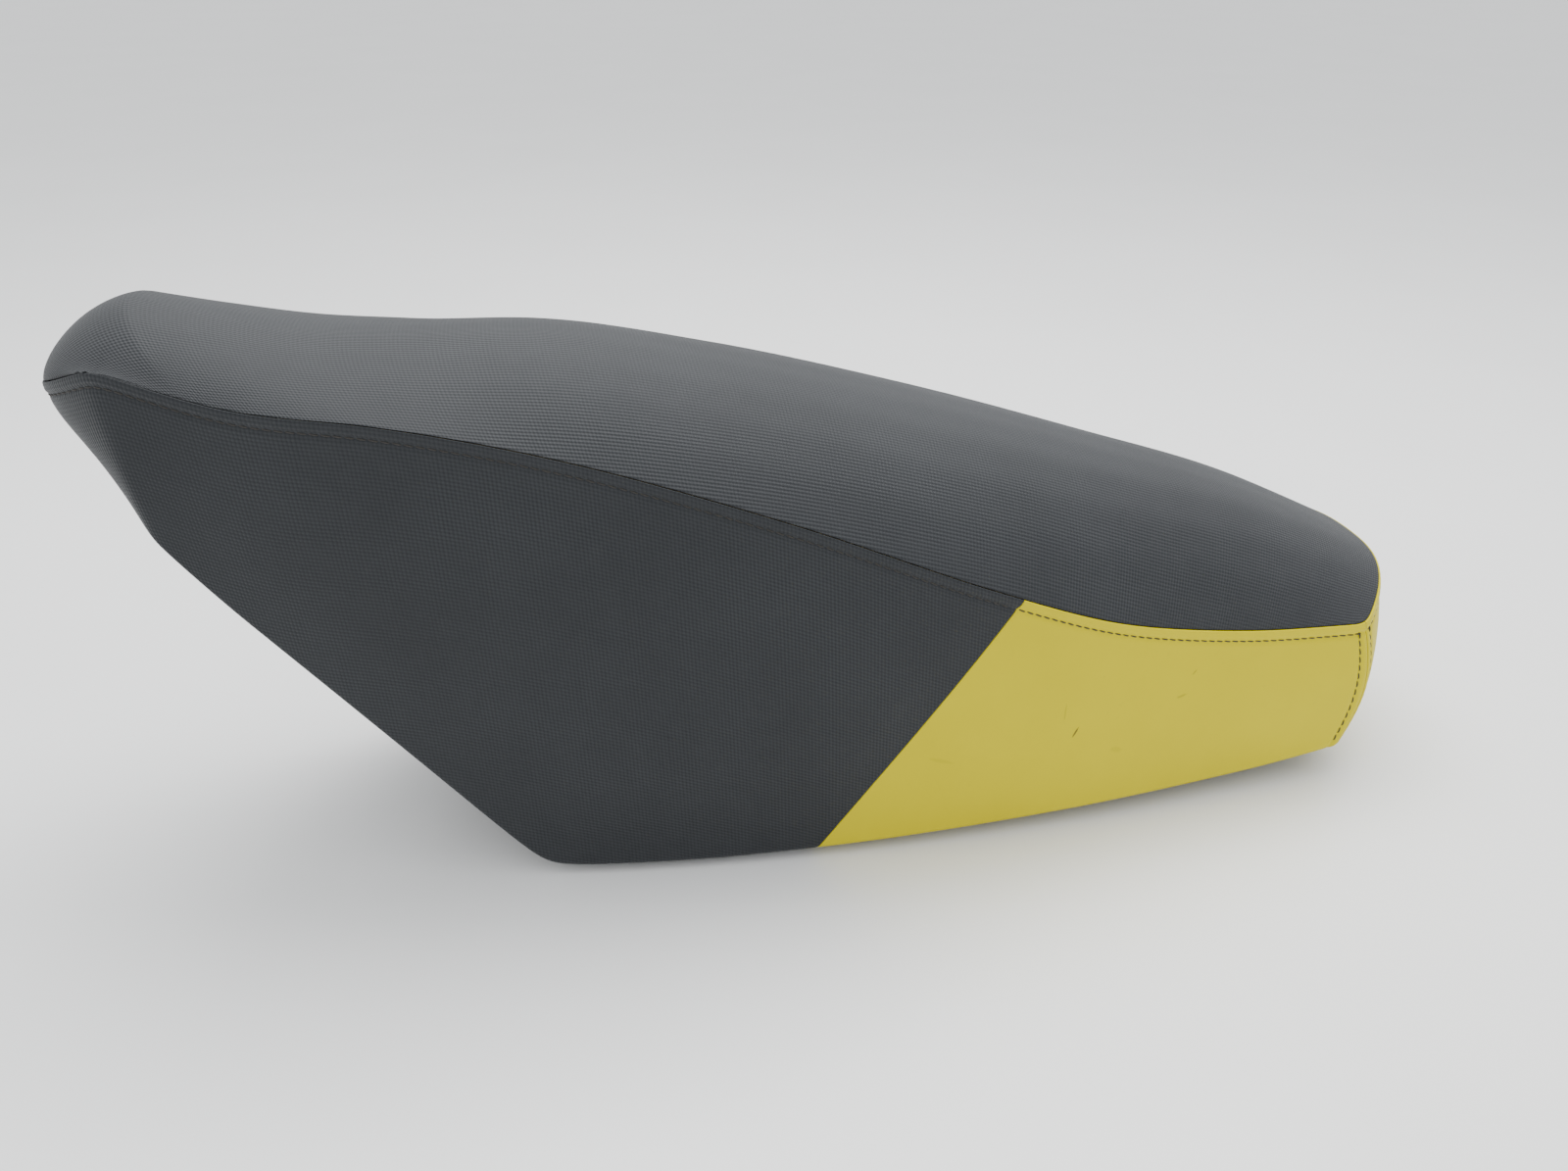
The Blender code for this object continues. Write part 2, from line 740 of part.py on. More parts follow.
def drill(name, holes, group):
    """One cutter with a cylinder for each (frame, radius, bottom, top)."""
    build = bmesh.new()
    for frame, radius, bottom, top in holes:
        middle = Matrix.Translation((0, 0, (bottom + top) / 2))
        bmesh.ops.create_cone(
            build, cap_ends=True, segments=HOLE_SEGMENTS, radius1=radius, radius2=radius,
            depth=top - bottom, matrix=frame @ middle,
        )
    mesh = bpy.data.meshes.new(name)
    build.to_mesh(mesh)
    build.free()
    cutter = add_object(name, mesh, None, group, smooth=False)
    mark_cutter(cutter)
    return cutter


# ---- small parts ----

def turned(name, profile, finish, group, place, steps=16):
    """A turned piece: (radius, z) pairs down the outer side, spun about its own Z."""
    mesh = bpy.data.meshes.new(name)
    closed = profile[0][0] > 0
    count = len(profile)
    edges = [(i, i + 1) for i in range(count - 1)]
    if closed:
        edges.append((count - 1, 0))
    mesh.from_pydata([(radius, 0, z) for radius, z in profile], edges, [])
    piece = add_object(name, mesh, finish, group, smooth=False)
    piece.matrix_world = place
    spin = piece.modifiers.new("spin", "SCREW")
    spin.axis = "Z"
    spin.steps = steps
    spin.render_steps = steps
    spin.use_merge_vertices = True
    spin.merge_threshold = 1e-5
    spin.use_smooth_shade = True
    return piece


def circle(radius, count, centre=(0.0, 0.0)):
    turn = 2 * math.pi / count
    return [
        (centre[0] + radius * math.cos(turn * i), centre[1] + radius * math.sin(turn * i))
        for i in range(count)
    ]


def arc(radius, start, end, count, centre=(0.0, 0.0)):
    """Points on an arc; angles in degrees."""
    points = []
    for i in range(count + 1):
        angle = math.radians(start + (end - start) * i / count)
        x = centre[0] + radius * math.cos(angle)
        points.append((x, centre[1] + radius * math.sin(angle)))
    return points


def plate(name, outlines, bottom, top, finish, group, place):
    """A flat plate in its own XY plane: the first outline, less the others."""
    curve = bpy.data.curves.new(name, "CURVE")
    curve.dimensions = "2D"
    curve.fill_mode = "BOTH"
    curve.extrude = (top - bottom) / 2
    for outline in outlines:
        spline = curve.splines.new("POLY")
        spline.points.add(len(outline) - 1)
        for point, (x, y) in zip(spline.points, outline):
            point.co = (x, y, 0, 1)
        spline.use_cyclic_u = True
    piece = bpy.data.objects.new(name, curve)
    group.objects.link(piece)
    curve.materials.append(material(finish))
    piece.matrix_world = place @ Matrix.Translation((0, 0, (top + bottom) / 2))
    return piece


def folded_plate(name, profile, half_width, thickness, finish, group, place, across="Y"):
    """A bent strip: (position, z) pairs of its upper face, with a thickness below."""
    rows = []
    for side in (-half_width, half_width):
        if across == "Y":
            rows.append([(a, side, z) for a, z in profile])
        else:
            rows.append([(side, a, z) for a, z in profile])
    mesh = grid_mesh(name, rows)
    face_outward(mesh, (0.0, 0.0, -1.0))
    strip = add_object(name, mesh, finish, group, smooth=False)
    strip.matrix_world = place
    solidify(strip, thickness)
    return strip


# ---- bumpers, tongues and their rivets ----

def bumper_frames():
    frames = {}
    for station, end in zip(BUMPER_STATIONS, ("front", "rear")):
        for side, hand in ((-1, "left"), (1, "right")):
            place = inside(station, side * BUMPER_OFFSET, PAN_UNDER_DEPTH)
            frames[f"bumper_{end}_{hand}"] = Matrix.Translation(place)
    return frames


def bumpers(group):
    """Rubber feet that push into the pan; their soles stand on z = 0."""
    for name, frame in bumper_frames().items():
        sole = -frame.translation.z
        profile = [
            (0.0, BARB_TOP), (BARB_TIP_RADIUS, BARB_TOP), (BARB_RADIUS, BARB_BOTTOM),
            (STEM_RADIUS, BARB_BOTTOM), (STEM_RADIUS, -BUMPER_GAP),
            (BUMPER_RADIUS, -BUMPER_GAP), (BUMPER_RADIUS, -BUMPER_GAP - BUMPER_RIM),
            (BUMPER_SHOULDER, sole + SOLE_ROUND), (SOLE_RADIUS, sole), (0.0, sole),
        ]
        turned(name, profile, "rubber", group, frame)


def tongue_frames():
    return {
        "left": frame_on_pan(TONGUE_STATION, -TONGUE_OFFSET),
        "right": frame_on_pan(TONGUE_STATION, TONGUE_OFFSET),
    }


def rivet_frames():
    frames = []
    for frame in tongue_frames().values():
        for x in RIVET_PLACES:
            frames.append(frame @ Matrix.Translation((x, 0, 0)))
    return frames


def front_tongues(group, holes):
    """Steel tongues on the ramp: they slide under the tank's rear edge."""
    for hand, frame in tongue_frames().items():
        profile = [
            (STRAP_BACK, -SHEET_GAP), (STRAP_BEND, -SHEET_GAP),
            (TIP_BEND, -SHEET_GAP - TONGUE_STEP), (TIP_END, -SHEET_GAP - TONGUE_STEP),
        ]
        strap = folded_plate(
            f"front_tongue_{hand}", profile, TONGUE_HALF_WIDTH, TONGUE_THICKNESS,
            "steel", group, frame,
        )
        cut(strap, holes)


def tongue_rivets(group):
    under = -SHEET_GAP - TONGUE_THICKNESS - FIT_GAP
    over = PAN_THICKNESS + FIT_GAP
    profile = [(radius, over + z) for radius, z in RIVET_TAIL]
    profile += [(RIVET_RADIUS, over), (RIVET_RADIUS, under)]
    profile += [(radius, under - z) for radius, z in RIVET_HEAD]
    for number, frame in enumerate(rivet_frames(), 1):
        turned(f"tongue_rivet_{number}", profile, "steel", group, frame)


# ---- tail latch ----

def latch_frame():
    return frame_on_pan(LATCH_STATION, 0.0)


def screw_frames():
    frames = []
    for x in (-SCREW_X, SCREW_X):
        for y in (-SCREW_Y, SCREW_Y):
            frames.append(latch_frame() @ Matrix.Translation((x, y, 0)))
    return frames


def latch_bracket(group, holes):
    """A hat-shaped steel bracket; the latch swings under its web."""
    profile = [
        (-HAT_FLANGE, -SHEET_GAP), (-HAT_INNER, -SHEET_GAP), (-HAT_INNER, WEB_TOP),
        (HAT_INNER, WEB_TOP), (HAT_INNER, -SHEET_GAP), (HAT_FLANGE, -SHEET_GAP),
    ]
    bracket = folded_plate(
        "latch_bracket", profile, HAT_HALF_LENGTH, HAT_THICKNESS, "zinc", group,
        latch_frame(), across="X",
    )
    cut(bracket, holes)
    return bracket


def hook_outline():
    """Plan of the hook plate: a lever towards the tail, a notch for the stud ahead."""
    lever = LEVER_HALF_WIDTH
    end = LEVER_LENGTH - lever
    outline = arc(lever, -90, 90, 8, (end, 0.0))
    outline += arc(EYE_RADIUS, 33, 125, 6)
    outline += arc(STUD_PLACE - NOTCH_HALF_WIDTH, 150, 178, 4)
    outline += arc(NOTCH_HALF_WIDTH, 0, -180, 8, (-STUD_PLACE, 0.0))
    outline += arc(STUD_PLACE + NOTCH_HALF_WIDTH, 178, 157, 3)
    outline += arc(FINGER_RADIUS, 155, 215, 8)
    outline += arc(EYE_RADIUS, 238, 327, 6)
    return outline


def latch_hook(group, frame):
    outlines = [hook_outline(), circle(PIVOT_HOLE, 20)]
    return plate("latch_hook", outlines, HOOK_BOTTOM, HOOK_TOP, "zinc", group, frame)


def latch_pivot(group, frame):
    """Shoulder bolt: its head is below the spring, its thread is above the web."""
    profile = [
        (0.0, BOLT_END), (PIVOT_RADIUS - BOLT_CHAMFER, BOLT_END),
        (PIVOT_RADIUS, BOLT_END - BOLT_CHAMFER), (PIVOT_RADIUS, HEAD_TOP),
        (HEAD_RADIUS, HEAD_TOP), (HEAD_RADIUS, HEAD_BOTTOM + BOLT_CHAMFER),
        (HEAD_RADIUS - BOLT_CHAMFER, HEAD_BOTTOM), (0.0, HEAD_BOTTOM),
    ]
    return turned("latch_pivot", profile, "steel", group, frame)


def latch_pivot_nut(group, frame):
    bottom = WEB_TOP + FIT_GAP
    outlines = [circle(NUT_RADIUS, 6), circle(PIVOT_HOLE, 20)]
    return plate("latch_pivot_nut", outlines, bottom, bottom + NUT_HEIGHT, "steel", group, frame)


def spring_path():
    """Torsion spring: a leg on the lever, the coils, and a leg beside the bracket."""
    wire = SPRING_WIRE
    top = HOOK_BOTTOM - FIT_GAP - wire
    pitch = 2 * wire + WIRE_GAP
    lever_leg = LEVER_HALF_WIDTH + FIT_GAP + wire
    path = [
        (LEG_REACH, lever_leg, HOOK_TOP), (LEG_REACH, lever_leg, top + LEG_BEND / 3),
        (LEG_REACH - LEG_BEND, lever_leg, top), (2 * SPRING_RADIUS, SPRING_RADIUS, top),
    ]
    for i in range(SPRING_STEPS + 1):
        turns = SPRING_TURNS * i / SPRING_STEPS
        angle = math.pi * (0.5 + 2 * turns)
        x, y = SPRING_RADIUS * math.cos(angle), SPRING_RADIUS * math.sin(angle)
        path.append((x, y, top - pitch * turns))
    low = path[-1][2]
    wall = HAT_INNER + HAT_THICKNESS + 2 * FIT_GAP + wire
    diagonal = SPRING_RADIUS * math.sqrt(0.5)
    x = wall - 2 * diagonal      # the leg leaves the coils at 45 degrees
    bend = LEG_BEND / 2
    path += [(x - bend, -wall + bend, low), (x, -wall, low + bend), (x, -wall, WEB_TOP + LEG_RISE)]
    return path


def latch_spring(group, frame):
    curve = bpy.data.curves.new("latch_spring", "CURVE")
    curve.dimensions = "3D"
    curve.bevel_depth = SPRING_WIRE
    curve.bevel_resolution = 2
    curve.use_fill_caps = True
    path = spring_path()
    spline = curve.splines.new("POLY")
    spline.points.add(len(path) - 1)
    for point, place in zip(spline.points, path):
        point.co = (*place, 1)
    spring = bpy.data.objects.new("latch_spring", curve)
    group.objects.link(spring)
    curve.materials.append(material("steel"))
    spring.matrix_world = frame
    return spring


def box_mesh(name, low, high):
    build = bmesh.new()
    size = [h - l for l, h in zip(low, high)]
    middle = [(l + h) / 2 for l, h in zip(low, high)]
    place = Matrix.Translation(middle) @ Matrix.Diagonal((*size, 1))
    bmesh.ops.create_cube(build, size=1, matrix=place)
    mesh = bpy.data.meshes.new(name)
    build.to_mesh(mesh)
    build.free()
    return mesh


def latch_grip(group, cutters, frame):
    """Moulded grip pushed over the lever's end."""
    middle = (HOOK_TOP + HOOK_BOTTOM) / 2
    low = (GRIP_START, -GRIP_HALF_WIDTH, middle - GRIP_HALF_HEIGHT)
    high = (GRIP_END, GRIP_HALF_WIDTH, middle + GRIP_HALF_HEIGHT)
    grip = add_object("latch_grip", box_mesh("latch_grip", low, high), "grip", group)
    grip.matrix_world = frame
    rounded = grip.modifiers.new("rounded", "BEVEL")
    rounded.width = GRIP_ROUND
    rounded.segments = 3
    slot_low = (GRIP_START / 2, -LEVER_HALF_WIDTH - FIT_GAP, HOOK_BOTTOM - FIT_GAP)
    slot_high = (LEVER_LENGTH + FIT_GAP, LEVER_HALF_WIDTH + FIT_GAP, HOOK_TOP + FIT_GAP)
    slot = add_object("grip_slot", box_mesh("grip_slot", slot_low, slot_high), None, cutters)
    slot.matrix_world = frame
    mark_cutter(slot)
    cut(grip, slot)
    return grip


def latch_screws(group):
    """Four screws hold the bracket; each runs into a tee nut above the pan."""
    under = -SHEET_GAP - HAT_THICKNESS - FIT_GAP
    over = PAN_THICKNESS + FIT_GAP
    screw = [(0.0, SCREW_END), (SCREW_RADIUS, SCREW_END), (SCREW_RADIUS, under)]
    screw += [(radius, under - z) for radius, z in SCREW_HEAD]
    inner = SCREW_RADIUS + FIT_GAP
    tee = [
        (inner, over + TEE_THICKNESS), (TEE_FLANGE, over + TEE_THICKNESS), (TEE_FLANGE, over),
        (TEE_BARREL, over), (TEE_BARREL, FIT_GAP), (inner, FIT_GAP),
    ]
    for number, frame in enumerate(screw_frames(), 1):
        turned(f"latch_screw_{number}", screw, "zinc", group, frame)
        turned(f"tee_nut_{number}", tee, "zinc", group, frame)


# ---- assembly ----

def pan_holes(group):
    places = [(frame, STEM_RADIUS + FIT_GAP) for frame in bumper_frames().values()]
    places += [(frame, RIVET_RADIUS + FIT_GAP) for frame in rivet_frames()]
    places += [(frame, TEE_BARREL + FIT_GAP) for frame in screw_frames()]
    places += [(frame_on_pan(station, 0.0), DRAIN_RADIUS) for station in DRAIN_STATIONS]
    holes = [(frame, radius, -THROUGH_PAN, THROUGH_PAN) for frame, radius in places]
    return drill("pan_holes", holes, group)


def foam_pockets(group):
    """Room in the foam for the ends of the fasteners that stand above the pan."""
    pockets = []
    for frame in bumper_frames().values():
        pockets.append((frame, BARB_RADIUS + POCKET_GAP, 0.0, BARB_TOP + POCKET_GAP))
    for frame in rivet_frames():
        pockets.append((frame, RIVET_POCKET, 0.0, RIVET_POCKET_TOP))
    for frame in screw_frames():
        pockets.append((frame, TEE_POCKET, 0.0, SCREW_END + POCKET_GAP))
    return drill("foam_pockets", pockets, group)


def bracket_holes(group):
    frame = latch_frame()
    stud = frame @ Matrix.Translation((-STUD_PLACE, 0, 0))
    web = (WEB_BOTTOM - THROUGH_SHEET, WEB_TOP + THROUGH_SHEET)
    holes = [(frame, PIVOT_HOLE, *web), (stud, STUD_HOLE, *web)]
    for screw in screw_frames():
        holes.append((screw, SCREW_RADIUS + FIT_GAP, -HAT_THICKNESS - THROUGH_SHEET, THROUGH_SHEET))
    return drill("bracket_holes", holes, group)


def strap_holes(group):
    bottom = -TONGUE_THICKNESS - THROUGH_SHEET
    radius = RIVET_RADIUS + FIT_GAP
    holes = [(frame, radius, bottom, THROUGH_SHEET) for frame in rivet_frames()]
    return drill("strap_holes", holes, group)


def main():
    clear_scene()
    seat = make_collection("snowmobile_seat")
    cutters = make_collection("cutters")
    seat_base(seat, pan_holes(cutters))
    foam_core(seat, pan_space(cutters), foam_pockets(cutters))
    moisture_barrier(seat)
    cover_top(seat)
    for side, hand in ((-1, "left"), (1, "right")):
        cover_side(f"cover_side_{hand}", side, seat)
        cover_rear_side(f"cover_rear_side_{hand}", side, seat)
    cover_rear(seat)
    bumpers(seat)
    front_tongues(seat, strap_holes(cutters))
    tongue_rivets(seat)
    frame = latch_frame()
    latch_bracket(seat, bracket_holes(cutters))
    latch_pivot(seat, frame)
    latch_pivot_nut(seat, frame)
    latch_hook(seat, frame)
    latch_grip(seat, cutters, frame)
    latch_spring(seat, frame)
    latch_screws(seat)


main()
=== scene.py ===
"""Looks for the snowmobile seat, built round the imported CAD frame.

The cover is made again as fine vinyl panels on the seat's own surface: a top panel,
dark sides, yellow rear sides and a yellow rear panel. A cloth simulation of the foam
gives the panels their swell. Folded edges, stitches, hem and staples come after it.
Every length is in metres. Stations along the seat are distances from the nose tip.
"""

import json
import math
import random

import bmesh
import bpy
import numpy as np
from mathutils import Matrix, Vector
from mathutils.kdtree import KDTree


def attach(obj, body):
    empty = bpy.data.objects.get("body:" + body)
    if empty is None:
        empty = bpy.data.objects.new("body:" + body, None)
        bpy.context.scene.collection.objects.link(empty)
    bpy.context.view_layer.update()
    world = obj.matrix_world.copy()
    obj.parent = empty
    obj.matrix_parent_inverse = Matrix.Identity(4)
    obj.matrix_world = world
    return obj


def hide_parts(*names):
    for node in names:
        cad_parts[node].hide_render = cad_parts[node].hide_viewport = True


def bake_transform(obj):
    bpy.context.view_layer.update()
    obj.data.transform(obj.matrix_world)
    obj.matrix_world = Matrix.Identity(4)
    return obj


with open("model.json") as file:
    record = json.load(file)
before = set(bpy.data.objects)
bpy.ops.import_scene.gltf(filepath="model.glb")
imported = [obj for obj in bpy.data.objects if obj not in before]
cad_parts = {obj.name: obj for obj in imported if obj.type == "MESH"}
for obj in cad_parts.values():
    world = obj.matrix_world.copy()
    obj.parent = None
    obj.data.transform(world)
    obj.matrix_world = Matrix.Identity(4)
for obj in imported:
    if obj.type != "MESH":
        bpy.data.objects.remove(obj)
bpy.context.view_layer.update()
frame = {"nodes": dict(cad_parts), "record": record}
NODES = frame["nodes"]
BODY = "seat"

# ---- the seat's shape, the same stations as in the CAD ----

LENGTH = 0.974
SEAM_REAR = 0.969
NOSE_CORNER = 0.045
REAR_CORNER = 0.917
CORNER_POWER = 2.4
NOSE_PEAK = 0.060
NOSE_SEAM_HEIGHT = 0.356
NOSE_PEAK_HEIGHT = 0.404
NOSE_ROLL_POWER = 1.6

SEAM_HALF_WIDTH = [
    (0.045, 0.072), (0.135, 0.101), (0.325, 0.120), (0.465, 0.140),
    (0.605, 0.149), (0.765, 0.133), (0.917, 0.115),
]
SEAM_HEIGHT = [
    (0.045, 0.379), (0.115, 0.359), (0.205, 0.346), (0.325, 0.315), (0.465, 0.268),
    (0.605, 0.209), (0.705, 0.169), (0.805, 0.146), (0.917, 0.132),
]
SADDLE_HEIGHT = [
    (NOSE_PEAK, NOSE_PEAK_HEIGHT), (0.105, 0.391), (0.155, 0.377), (0.215, 0.371),
    (0.315, 0.367), (0.435, 0.341), (0.585, 0.298), (0.735, 0.249), (0.865, 0.203),
    (0.969, 0.154),
]
SHOULDER_POWER = [(0.0, 1.8), (0.49, 2.5), (0.917, 3.3)]
EDGE_HALF_WIDTH = [
    (0.045, 0.083), (0.185, 0.107), (0.320, 0.132), (0.485, 0.146),
    (0.665, 0.145), (0.909, 0.123),
]
EDGE_NOSE = 0.033
EDGE_NOSE_CORNER = 0.063
EDGE_REAR_CORNER = 0.909
EDGE_TAIL = 0.938
TOE = 0.280
RAMP_SLOPE = 1.17
RAMP_FOOT_HEIGHT = 0.010
TOE_BLEND = 0.012
FLOOR_HEIGHT = 0.006
FLOOR_START = 0.389
FLOOR_RUN = 0.520
FLOOR_RISE = 0.014
FLOOR_POWER = 1.3
STEEP_START = 0.114
STEEP_RUN = 0.070
STEEP_RISE = 0.010
KICK_START = 0.819
KICK_RUN = 0.090
KICK_RISE = 0.004
SPLIT_TOP = 0.621
SPLIT_BOTTOM = 0.478
SIDE_BULGE = 0.003
NOSE_BULGE = 0.012
NOSE_CORNER_BULGE = 0.002
TAIL_BULGE = 0.0178
TAIL_CORNER_BULGE = 0.012
CORNER_RUN = 0.030  # the corner bulges fade along the sides over this length

# ---- the cover's sewing ----

VINYL = 0.0010
LOOP_STEP = 0.001  # sample spacing round the seam
LOOP_SAMPLES = 12001  # points that measure the loop
WALL_SAMPLES = 81  # points down a wall, before its rows are chosen
HEM_SAMPLES = 12  # points across the hem
CORNER_SPREAD = 0.007  # how softly the top seam turns its corners
EDGE_SPREAD = 0.004  # the same at the lower edge
EDGE_ROUND = 0.005  # the cover's bend round the pan's rim
HEM_REACH = 0.016
HEM_FLAT = 0.007  # beyond the rim, the hem curls up into the pan
HEM_CURL = 0.003
ALLOWANCE = (0.0007, 0.0016, 0.0030)  # depths of the turned-in seam allowance

FOLD_ROLL = 0.0017  # radius of the folded edge
FOLD_RISE = 0.0011  # the folded edge stands this proud of the panel
STITCH_ROW = 0.009  # top-stitching, measured from the seam
STITCH_PITCH = 0.007
STITCH_DIP = 0.0009
DIP_WIDTH = 0.0020
DIP_BETWEEN = 0.55  # share of the dip that is left between two holes
FOLD_HOLD = 0.62  # the fold keeps its height over this share of its width
FOLD_PINCH = 0.10  # share of its height that the fold loses beside a hole
CORNER_ROW = 0.0065  # stitch rows on both sides of the rear corner seams
CORNER_RISE = 0.0008
PLAIN_ROLL = 0.0020  # panels roll down into a plain seam over this width
PLAIN_DROP = 0.0004
THREAD = 0.0006  # radius
RELIEF_START = 0.006  # upright seams have relief from here down, and this far round the rim
RELIEF_TOP_RUN = 0.005
RELIEF_HEM_RUN = 0.010
SEAM_EASE = 0.016  # the top follows the softened seam this far in

SEAM_STEPS = (
    0.00035, 0.0008, 0.0013, 0.0019, 0.0027, 0.0037, 0.0050, 0.0065, 0.0077,
    0.0090, 0.0102, 0.0115, 0.0132, 0.0150,
)
HEM_STEPS = (
    -0.0070, -0.0050, -0.0035, -0.0020, -0.0007, 0.0007, 0.0020, 0.0035, 0.0050,
    0.0070, 0.0090, 0.0112, 0.0136, 0.0160,
)
MIDDLE_ROWS = 40  # rows of a wall between those two sets
ALONG_STEP = 0.0024
ACROSS_STEPS = 58
TOP_SAMPLES = (4001, 241)  # points that measure the top, along and across
SPLIT_ROUNDS = 12  # passes that settle the diagonal seam onto its line
JUST_INSIDE = 0.996  # share of the top that ends just short of the seam

# ---- foam simulation ----

VOXEL = 0.006
PRESSURE = 4.0
STRETCH_STIFFNESS = 25.0
BEND_STIFFNESS = 2.0
LAST_FRAME = 20
SWELL_CAP = 0.0035
SWELL_SHARE = 0.75  # share of the foam's swell that shows in the cover
FILM_SHARE = 0.37  # the same for the film under it
PIN_REACH = 0.020  # the foam is held over half of this and free at 1.5 times
PIN_EVERY = 3  # of the seam's and the rim's points, one in this many is enough
NEIGHBOURS = 8  # foam points that give a cover point its swell
SEAM_START = 0.006  # a wall starts to swell this far from its seams
TOP_START = 0.004  # the same for the top panel's seam and for a wall's rim
FADE_REACH = 0.030  # the swell grows to its full size over this length


# ---- the surface, on arrays ----

def smooth_curve(stations, at):
    """Cubic curve through (station, value) pairs, with averaged slopes at each."""
    known = np.array(stations, float)
    x, y = known[:, 0], known[:, 1]
    step = np.diff(x)
    rise = np.diff(y) / step
    slope = np.concatenate([rise[:1], np.zeros(len(x) - 2), rise[-1:]])
    slope[1:-1] = (step[1:] * rise[:-1] + step[:-1] * rise[1:]) / (step[1:] + step[:-1])
    at = np.clip(at, x[0], x[-1])
    i = np.clip(np.searchsorted(x, at) - 1, 0, len(step) - 1)
    t = (at - x[i]) / step[i]
    value = (2 * t**3 - 3 * t**2 + 1) * y[i] + (3 * t**2 - 2 * t**3) * y[i + 1]
    bend = (t**3 - 2 * t**2 + t) * slope[i] + (t**3 - t**2) * slope[i + 1]
    return value + bend * step[i]


def smoothstep(value):
    t = np.clip(value, 0.0, 1.0)
    return t * t * (3 - 2 * t)


def unit(vectors):
    return vectors / np.maximum(np.linalg.norm(vectors, axis=-1, keepdims=True), 1e-12)


def crown_height(station):
    """Height of the seat's middle line: a round nose roll, then the saddle."""
    reach = np.clip((NOSE_PEAK - station) / NOSE_PEAK, 0.0, 1.0)
    rise = NOSE_PEAK_HEIGHT - NOSE_SEAM_HEIGHT
    power = NOSE_ROLL_POWER
    roll = NOSE_SEAM_HEIGHT + rise * (1 - reach**power) ** (1 / power)
    return np.where(station < NOSE_PEAK, roll, smooth_curve(SADDLE_HEIGHT, station))


def top_points(u, v):
    """Top panel: u from nose (0) to tail (1), v from the -Y seam (-1) to the +Y seam (1)."""
    lean = np.abs(v) ** CORNER_POWER
    start = NOSE_CORNER * lean
    end = SEAM_REAR - (SEAM_REAR - REAR_CORNER) * lean
    side = NOSE_CORNER + (REAR_CORNER - NOSE_CORNER) * u
    seam = smooth_curve(SEAM_HEIGHT, side)
    power = smooth_curve(SHOULDER_POWER, side)
    x = start + (end - start) * u - LENGTH / 2
    y = v * smooth_curve(SEAM_HALF_WIDTH, side)
    z = seam + (crown_height(SEAM_REAR * u) - seam) * (1 - np.abs(v) ** power)
    return np.stack([x, y, z], -1)


def base_height(station):
    """Height of the base surface: the ramp, the rounded toe and the rising floor."""
    rear = np.maximum(0.0, (station - FLOOR_START) / FLOOR_RUN)
    floor = FLOOR_HEIGHT + FLOOR_RISE * rear**FLOOR_POWER
    steeper = np.maximum(0.0, (STEEP_START - station) / STEEP_RUN)
    ramp = RAMP_FOOT_HEIGHT + RAMP_SLOPE * (TOE - station) + STEEP_RISE * steeper**2
    rise = ramp - floor
    return floor + 0.5 * (rise + np.sqrt(rise**2 + TOE_BLEND**2))


def edge_kick(station):
    """The cover's lower edge turns up from the base surface near the tail."""
    return KICK_RISE * np.maximum(0.0, (station - KICK_START) / KICK_RUN) ** 2


def base_tilt(station):
    step = 1e-4
    return np.arctan2(base_height(station - step) - base_height(station + step), 2 * step)


def inside(station, y, depth):
    """Points at a depth inside the base surface."""
    tilt = base_tilt(station)
    x = station - LENGTH / 2 + depth * np.sin(tilt)
    return np.stack([x, y, base_height(station) + depth * np.cos(tilt)], -1)


# ---- the loop round the seat ----

NOSE, SIDE, TAIL = 0, 1, 2


def loop_places(q):
    """Region, u and v for loop positions q from 0 to 6: half a nose, a side, a tail, a
    side and half a nose, starting in the middle of the nose and going by way of -Y."""
    region = np.select([q < 1, q <= 2, q < 4, q <= 5], [NOSE, SIDE, TAIL, SIDE], NOSE)
    u = np.select([q < 1, q <= 2, q < 4, q <= 5], [0 * q, q - 1, 0 * q + 1, 5 - q], 0 * q)
    v = np.select([q < 1, q <= 2, q < 4, q <= 5], [-q, 0 * q - 1, q - 3, 0 * q + 1], 6 - q)
    return region, u, v


def edge_plan(region, u, v):
    """Station and half-width of the lower edge under a point on the top seam."""
    lean = np.abs(v) ** CORNER_POWER
    nose = EDGE_NOSE + (EDGE_NOSE_CORNER - EDGE_NOSE) * lean
    side = EDGE_NOSE_CORNER + (EDGE_REAR_CORNER - EDGE_NOSE_CORNER) * u
    tail = EDGE_TAIL - (EDGE_TAIL - EDGE_REAR_CORNER) * lean
    station = np.select([region == NOSE, region == SIDE], [nose, side], tail)
    return station, v * smooth_curve(EDGE_HALF_WIDTH, station)


def bulge(region, u, v):
    """Push at a wall's mid-height: outwards, and round the corners."""
    nose = -NOSE_CORNER_BULGE - (NOSE_BULGE - NOSE_CORNER_BULGE) * (1 - np.abs(v))
    tail = TAIL_CORNER_BULGE + (TAIL_BULGE - TAIL_CORNER_BULGE) * (1 - v**2)
    run = (REAR_CORNER - NOSE_CORNER) / CORNER_RUN
    side = TAIL_CORNER_BULGE * np.exp(-(1 - u) * run) - NOSE_CORNER_BULGE * np.exp(-u * run)
    x = np.select([region == NOSE, region == SIDE], [nose, side], tail)
    y = SIDE_BULGE * np.where(region == SIDE, np.sign(v), v * np.abs(v) ** 2)
    return np.stack([x, y, np.zeros_like(x)], -1)


